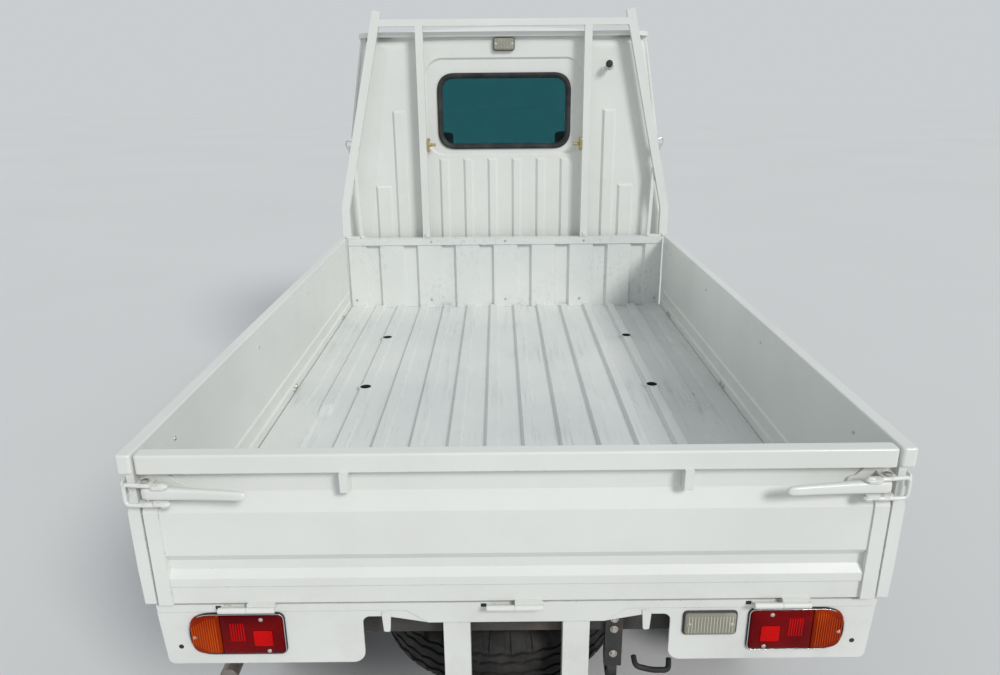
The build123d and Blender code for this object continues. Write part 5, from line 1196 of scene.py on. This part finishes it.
def make_nose():
    shape = Shape()
    for z in (676, 718, 760):
        outer, inner = (corner_rounded(rect(-270, z - 9, 270, z + 9, -grow), 8 + grow, 5)
                        for grow in (7, -0.5))
        shape.skin([[(x, nose_y(x) + offset, v) for x, v in dense(outline, 45)]
                    for outline, offset in ((outer, 1.2), (outer, -1.8), (inner, -2.6), (inner, 24))],
                   ring=True)
        for x in range(-240, 241, 40):
            shape.slab("x", rect(nose_y(x) + 4, z - 9, nose_y(x) + 26, z + 9), x - 1.2, x + 1.2)
    shape.done("grille_frames", BLACK_PLASTIC, bevel=0.5)
    shape = Shape()
    for s in (-1, 1):
        for x, z in ((655, 380), (655, 560), (300, 590), (100, 590)):
            y = front_hit(("front_bumper",), s * x, z)
            shape.turned([(8, -1), (8, 0.8), (6.4, 1.7), (2, 2.0)], (s * x, y, z), AHEAD, 20)
    shape.done("bumper_plugs", BLACK_PLASTIC)
    shape = Shape()
    shape.slab("y", [(-330, 396), (330, 396), (304, 466), (-304, 466)], -1622, -1618)
    for k in range(5):
        z = 409 + 11 * k
        shape.block((-300 + 4 * k, -1629, z), (300 - 4 * k, -1616, z + 3.5))
    for x in range(-240, 241, 60):
        shape.block((x - 2, -1627, 404), (x + 2, -1616, 460))
    shape.done("bumper_mesh", BLACK_PLASTIC, bevel=0.4)
    shape = Shape()
    outline = corner_rounded([(-590, 1033), (590, 1033), (504, 1637), (-504, 1637)], 62, 9)
    shape.tube(draped(("cab_front_panel", "cab_roof", "windscreen"), dense(outline, 60), (0, 1000), -0.5),
               8.0, ring=True)
    shape.done("windscreen_rubber", RUBBER, smooth=60)
    shape = Shape()
    for x in (-330, 120):
        low, high, far = BELT_Z + 26, BELT_Z + 150, x + 270
        a = Vector((x, screen_y(x, low) - 14, low))
        b = Vector((far, min(screen_y(far, high), screen_y(x, high)) - 14, high))
        shape.tube([a.lerp(b, t) + Vector((0, 7, 9)) for t in (0.30, 0.5, 0.7, 0.9, 1.06)], 5.5, 8, flat=1.6)
        shape.turned([(13, -4), (13, 6), (9, 12), (2, 13)], a + Vector((0, 6, 0)), (0, -1, 0.3), 20)
        shape.rod(a.lerp(b, 0.62) + Vector((0, 2, 0)), a.lerp(b, 0.74) + Vector((0, 6, 6)), 6, 10)
    shape.done("wiper_blades", RUBBER, bevel=0.5)


mirrored(make_headlamp)
make_nose()


# Cab inside: dashboard fittings, padded seats, belts and mirror

GAUGE_Y = -1398.5


def make_dash_fittings():
    def dash_y(x, z):
        return touch(("dashboard",), (x, -1200, z), AHEAD).y

    shape = Shape()
    hood = [(-1520, 946), (-1440, 1006), (-1404, 1010), (-1396, 1000), (-1404, 962), (-1430, 940)]
    shape.slab("x", hood, -450, -190, radius=8)
    shape.done("gauge_hood", DARK_PLASTIC, bevel=2.5)
    shape = Shape()
    for x, z, radius in ((-372, 974, 36), (-282, 974, 36), (-327, 984, 14)):
        shape.turned([(radius, 0), (radius + 3, 0), (radius + 3, 5), (radius, 4), (radius - 1, 1),
                      (0.1, 0.6)], (x, GAUGE_Y, z), (0, 1, 0.12), 32)
        if radius == 14:
            continue
        for k in range(9):
            u, v = polar(radius - 6, radians(-40 + 32.5 * k))
            shape.block((x + u - 0.8, -1397.4, z + v - 2.6), (x + u + 0.8, -1396, z + v + 2.6))
        shape.rod((x, -1396, z), (x - 15, -1395, z + 16), 1.3, 8, 0.6)
    shape.done("gauges", GAUGE, "dark_plastic")
    shape = Shape()
    for x in (-560, -120, 60, 560):
        y = dash_y(x, 900)
        shape.frame_strip("y", *(corner_rounded(rect(x - 34, 880, x + 34, 922, g), 8) for g in (0, 5)),
                          y - 2, y + 5)
        for k in range(4):
            shape.block((x - 30, y - 1, 887 + 8.4 * k), (x + 30, y + 3.5, 889 + 8.4 * k))
    y = dash_y(0, 850)
    shape.slab("y", rect(-88, 818, 92, 868), y - 1, y + 5, radius=6)
    shape.slab("y", rect(-70, 832, 74, 854), y + 4.5, y + 6, radius=3)
    for x in (-78, 82):
        shape.turned([(6.5, 4), (6, 13), (4, 14)], (x, y, 843), BACK, 20)
    shape.slab("y", rect(180, 800, 520, 872), y - 2, y + 3, radius=14, inset=2)
    shape.block((332, y + 2, 862), (368, y + 7, 870))
    shape.done("dash_fittings", BLACK_PLASTIC, bevel=0.8)
    shape = Shape()
    top = touch(("cab_roof",), (0, -1120, 1300), UP).z
    shape.slab("y", rect(-95, top - 92, 95, top - 44), -1128, -1112, radius=16)
    shape.rod((0, -1126, top - 60), (0, -1150, top + 1), 7, 14)
    for s in (-1, 1):
        shape.slab("z", rect(s * 70, -1100, s * 470, -960), top - 26, top - 12, radius=24)
        shape.rod((s * 80, -1106, top - 12), (s * 460, -1106, top - 12), 6, 12)
    shape.done("visors_and_mirror", GREY_PLASTIC, bevel=1.5)
    shape = Shape()
    shape.slab("y", rect(-88, top - 87, 88, top - 49), -1111.9, -1110.6, radius=13)
    shape.done("cab_mirror_glass", MIRROR, "clear_glass")


SEAT_X, SEAT_MIRROR_Y = 320.0, -570 * MM
PAD_POWER, EDGE_POWER = 7.0, 2.4
CHANNEL_DEPTH, CHANNEL_HALF = 7.0, 11.0


def crowned(name, low, high, crown, pulled, channels, across, turned_round):
    """A pad of a seat: a crowned closed form, its sides pulled in between the corners, with sewn channels."""
    mesh = bmesh.new()
    middle = [(a + b) / 2 for a, b in zip(low, high)]
    half = [(b - a) / 2 for a, b in zip(low, high)]
    bmesh.ops.create_cube(mesh, size=2.0)
    bmesh.ops.subdivide_edges(mesh, edges=mesh.edges[:], cuts=34, use_grid_fill=True)
    face_axis, run_axis, side_axis = {"z": (2, 1, 0), "y": (1, 2, 0)}[across]
    for vertex in mesh.verts:
        u = [vertex.co[k] for k in range(3)]
        norm = sum(abs(c) ** PAD_POWER for c in u) ** (1 / PAD_POWER)
        u = [c / norm for c in u]
        edge_a, edge_b = 1 - abs(u[run_axis]) ** EDGE_POWER, 1 - abs(u[side_axis]) ** EDGE_POWER
        place = [middle[k] + half[k] * u[k] for k in range(3)]
        front = max(0.0, u[face_axis])
        place[face_axis] += front * crown * edge_a * edge_b
        place[side_axis] -= pulled * u[side_axis] * edge_a * (1 - abs(u[face_axis]) * 0.4)
        for line in channels:
            gap = abs(u[side_axis] - line) * half[side_axis]
            place[face_axis] -= front * CHANNEL_DEPTH * edge_a * max(0.0, 1 - gap / CHANNEL_HALF) ** 2
        ripple = 1.6 * sin(9 * u[side_axis] + 3 * u[run_axis]) * sin(7 * u[run_axis] + 2)
        place[face_axis] += front * edge_a * edge_b * ripple
        vertex.co = Vector(place) * MM
        if turned_round:
            vertex.co.y = 2 * SEAT_MIRROR_Y - vertex.co.y
    data = bpy.data.meshes.new(name)
    mesh.to_mesh(data)
    mesh.free()
    if turned_round:
        data.flip_normals()
    data.materials.append(SEAT)
    data.shade_smooth()
    piece = add_object(name, data)
    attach(piece, "chassis")
    return piece


def make_seat(side):
    centre, word, channels = side * SEAT_X, WORDS[side], (-0.42, 0.42)
    cushion = crowned(f"seat_cushion_{word}", (centre - 232, -1138, 705), (centre + 232, -636, 800), 22, 7,
                      channels, "z", False)
    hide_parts("seats")
    crowned(f"seat_back_{word}", (centre - 222, -622, 812), (centre + 222, -518, 1262), 15, 8,
            channels, "y", True)
    crowned(f"seat_headrest_{word}", (centre - 104, -598, 1272), (centre + 104, -518, 1352), 8, 6,
            (), "y", True)
    shape = Shape(side)
    loop = corner_rounded(rect(SEAT_X - 226, -1132, SEAT_X + 226, -642), 40, 6)
    for z in (790, 716):
        shape.tube(lifted("z", loop, z), 4.2, 8, ring=True)
    shape.tube(lifted("y", corner_rounded(rect(102, 822, 538, 1252), 40, 6), -612), 4.2, 8, ring=True)
    shape.done("seat_piping", BLACK_PLASTIC, "seat_vinyl", smooth=60)
    shape = Shape(side)
    for x in (270, 370):
        shape.rod((x, -566, 1240), (x, -566, 1300), 6, 14)
    shape.bend([(120, -650, 702), (120, -652, 740), (112, -600, 760)], 7, 14, sides=12)
    shape.done("seat_posts", BRIGHT, "seat_vinyl")
    shape = Shape(side)
    shape.skin([[(x, y - 23, z), (x, y + 23, z), (x - 1.6, y + 23, z), (x - 1.6, y - 23, z)] for x, y, z in
                ((598, -500, 1420), (596, -502, 1200), (596, -504, 960), (590, -512, 730))])
    shape.block((588, -530, 706), (606, -480, 760))
    shape.turned([(16, 0), (16, 4), (8, 7)], (600, -500, 1426), INWARD, 24)
    shape.done("seat_belt", DARK_PLASTIC, bevel=0.5)


make_dash_fittings()
mirrored(make_seat)


# Stage: pale floor, one soft lamp and an even pale world

FLOOR_COLOUR, FLOOR_SIZE = (0.69, 0.69, 0.69), 60.0
AMBIENT, AMBIENT_TINT = 0.58, (0.90, 0.96, 1.0)
SUN_WATTS, SUN_SPREAD = 1.85, radians(16)
SUN_FROM = Vector((-1.25, 1.8, 1.5))
# what the floor sends back: its colour times the light that falls on it
BACKDROP = tuple(c * (AMBIENT * t + SUN_WATTS * SUN_FROM.normalized().z / pi)
                 for c, t in zip(FLOOR_COLOUR, AMBIENT_TINT))


def make_stage():
    mesh = bpy.data.meshes.new("stage_floor")
    corners = rect(-FLOOR_SIZE, -FLOOR_SIZE, FLOOR_SIZE, FLOOR_SIZE)
    mesh.from_pydata(lifted("z", corners, 0), [], [(0, 1, 2, 3)])
    floor = add_object("stage_floor", mesh)
    r = Recipe("stage_floor", 0.9)
    darker = tuple(0.97 * c for c in FLOOR_COLOUR)
    mesh.materials.append(r.done(r.mix(r.patches(0.35, 3, 0.3, 0.7), FLOOR_COLOUR, darker)))

    scene.world = bpy.data.worlds.new("studio")
    scene.world.use_nodes = True
    world = Tree(scene.world.node_tree)
    ambient = {"Color": AMBIENT_TINT, "Strength": AMBIENT}
    light = world.fill(world.tree.nodes["Background"], ambient).outputs[0]
    seen = world.add("Background", 0, {"Color": BACKDROP})
    path = world.tree.nodes.new("ShaderNodeLightPath").outputs
    through = world.add("Math", 0, {0: path["Is Glossy Ray"], 1: path["Is Transmission Ray"]},
                        operation="MAXIMUM")
    either = world.add("Math", 0, {0: path["Is Camera Ray"], 1: through}, operation="MAXIMUM")
    choose = world.add("MixShader", 0, {0: either, 1: light, 2: seen})
    world.fill(world.tree.nodes["World Output"], {"Surface": choose})


def make_sun():
    """One broad, soft lamp far away, so that it lights the floor evenly."""
    data = bpy.data.lights.new("sun", "SUN")
    data.energy = SUN_WATTS
    data.angle = SUN_SPREAD
    data.color = (1.0, 0.985, 0.96)
    add_object("sun", data).rotation_euler = (-SUN_FROM).to_track_quat("-Z", "Y").to_euler()


make_stage()
make_sun()
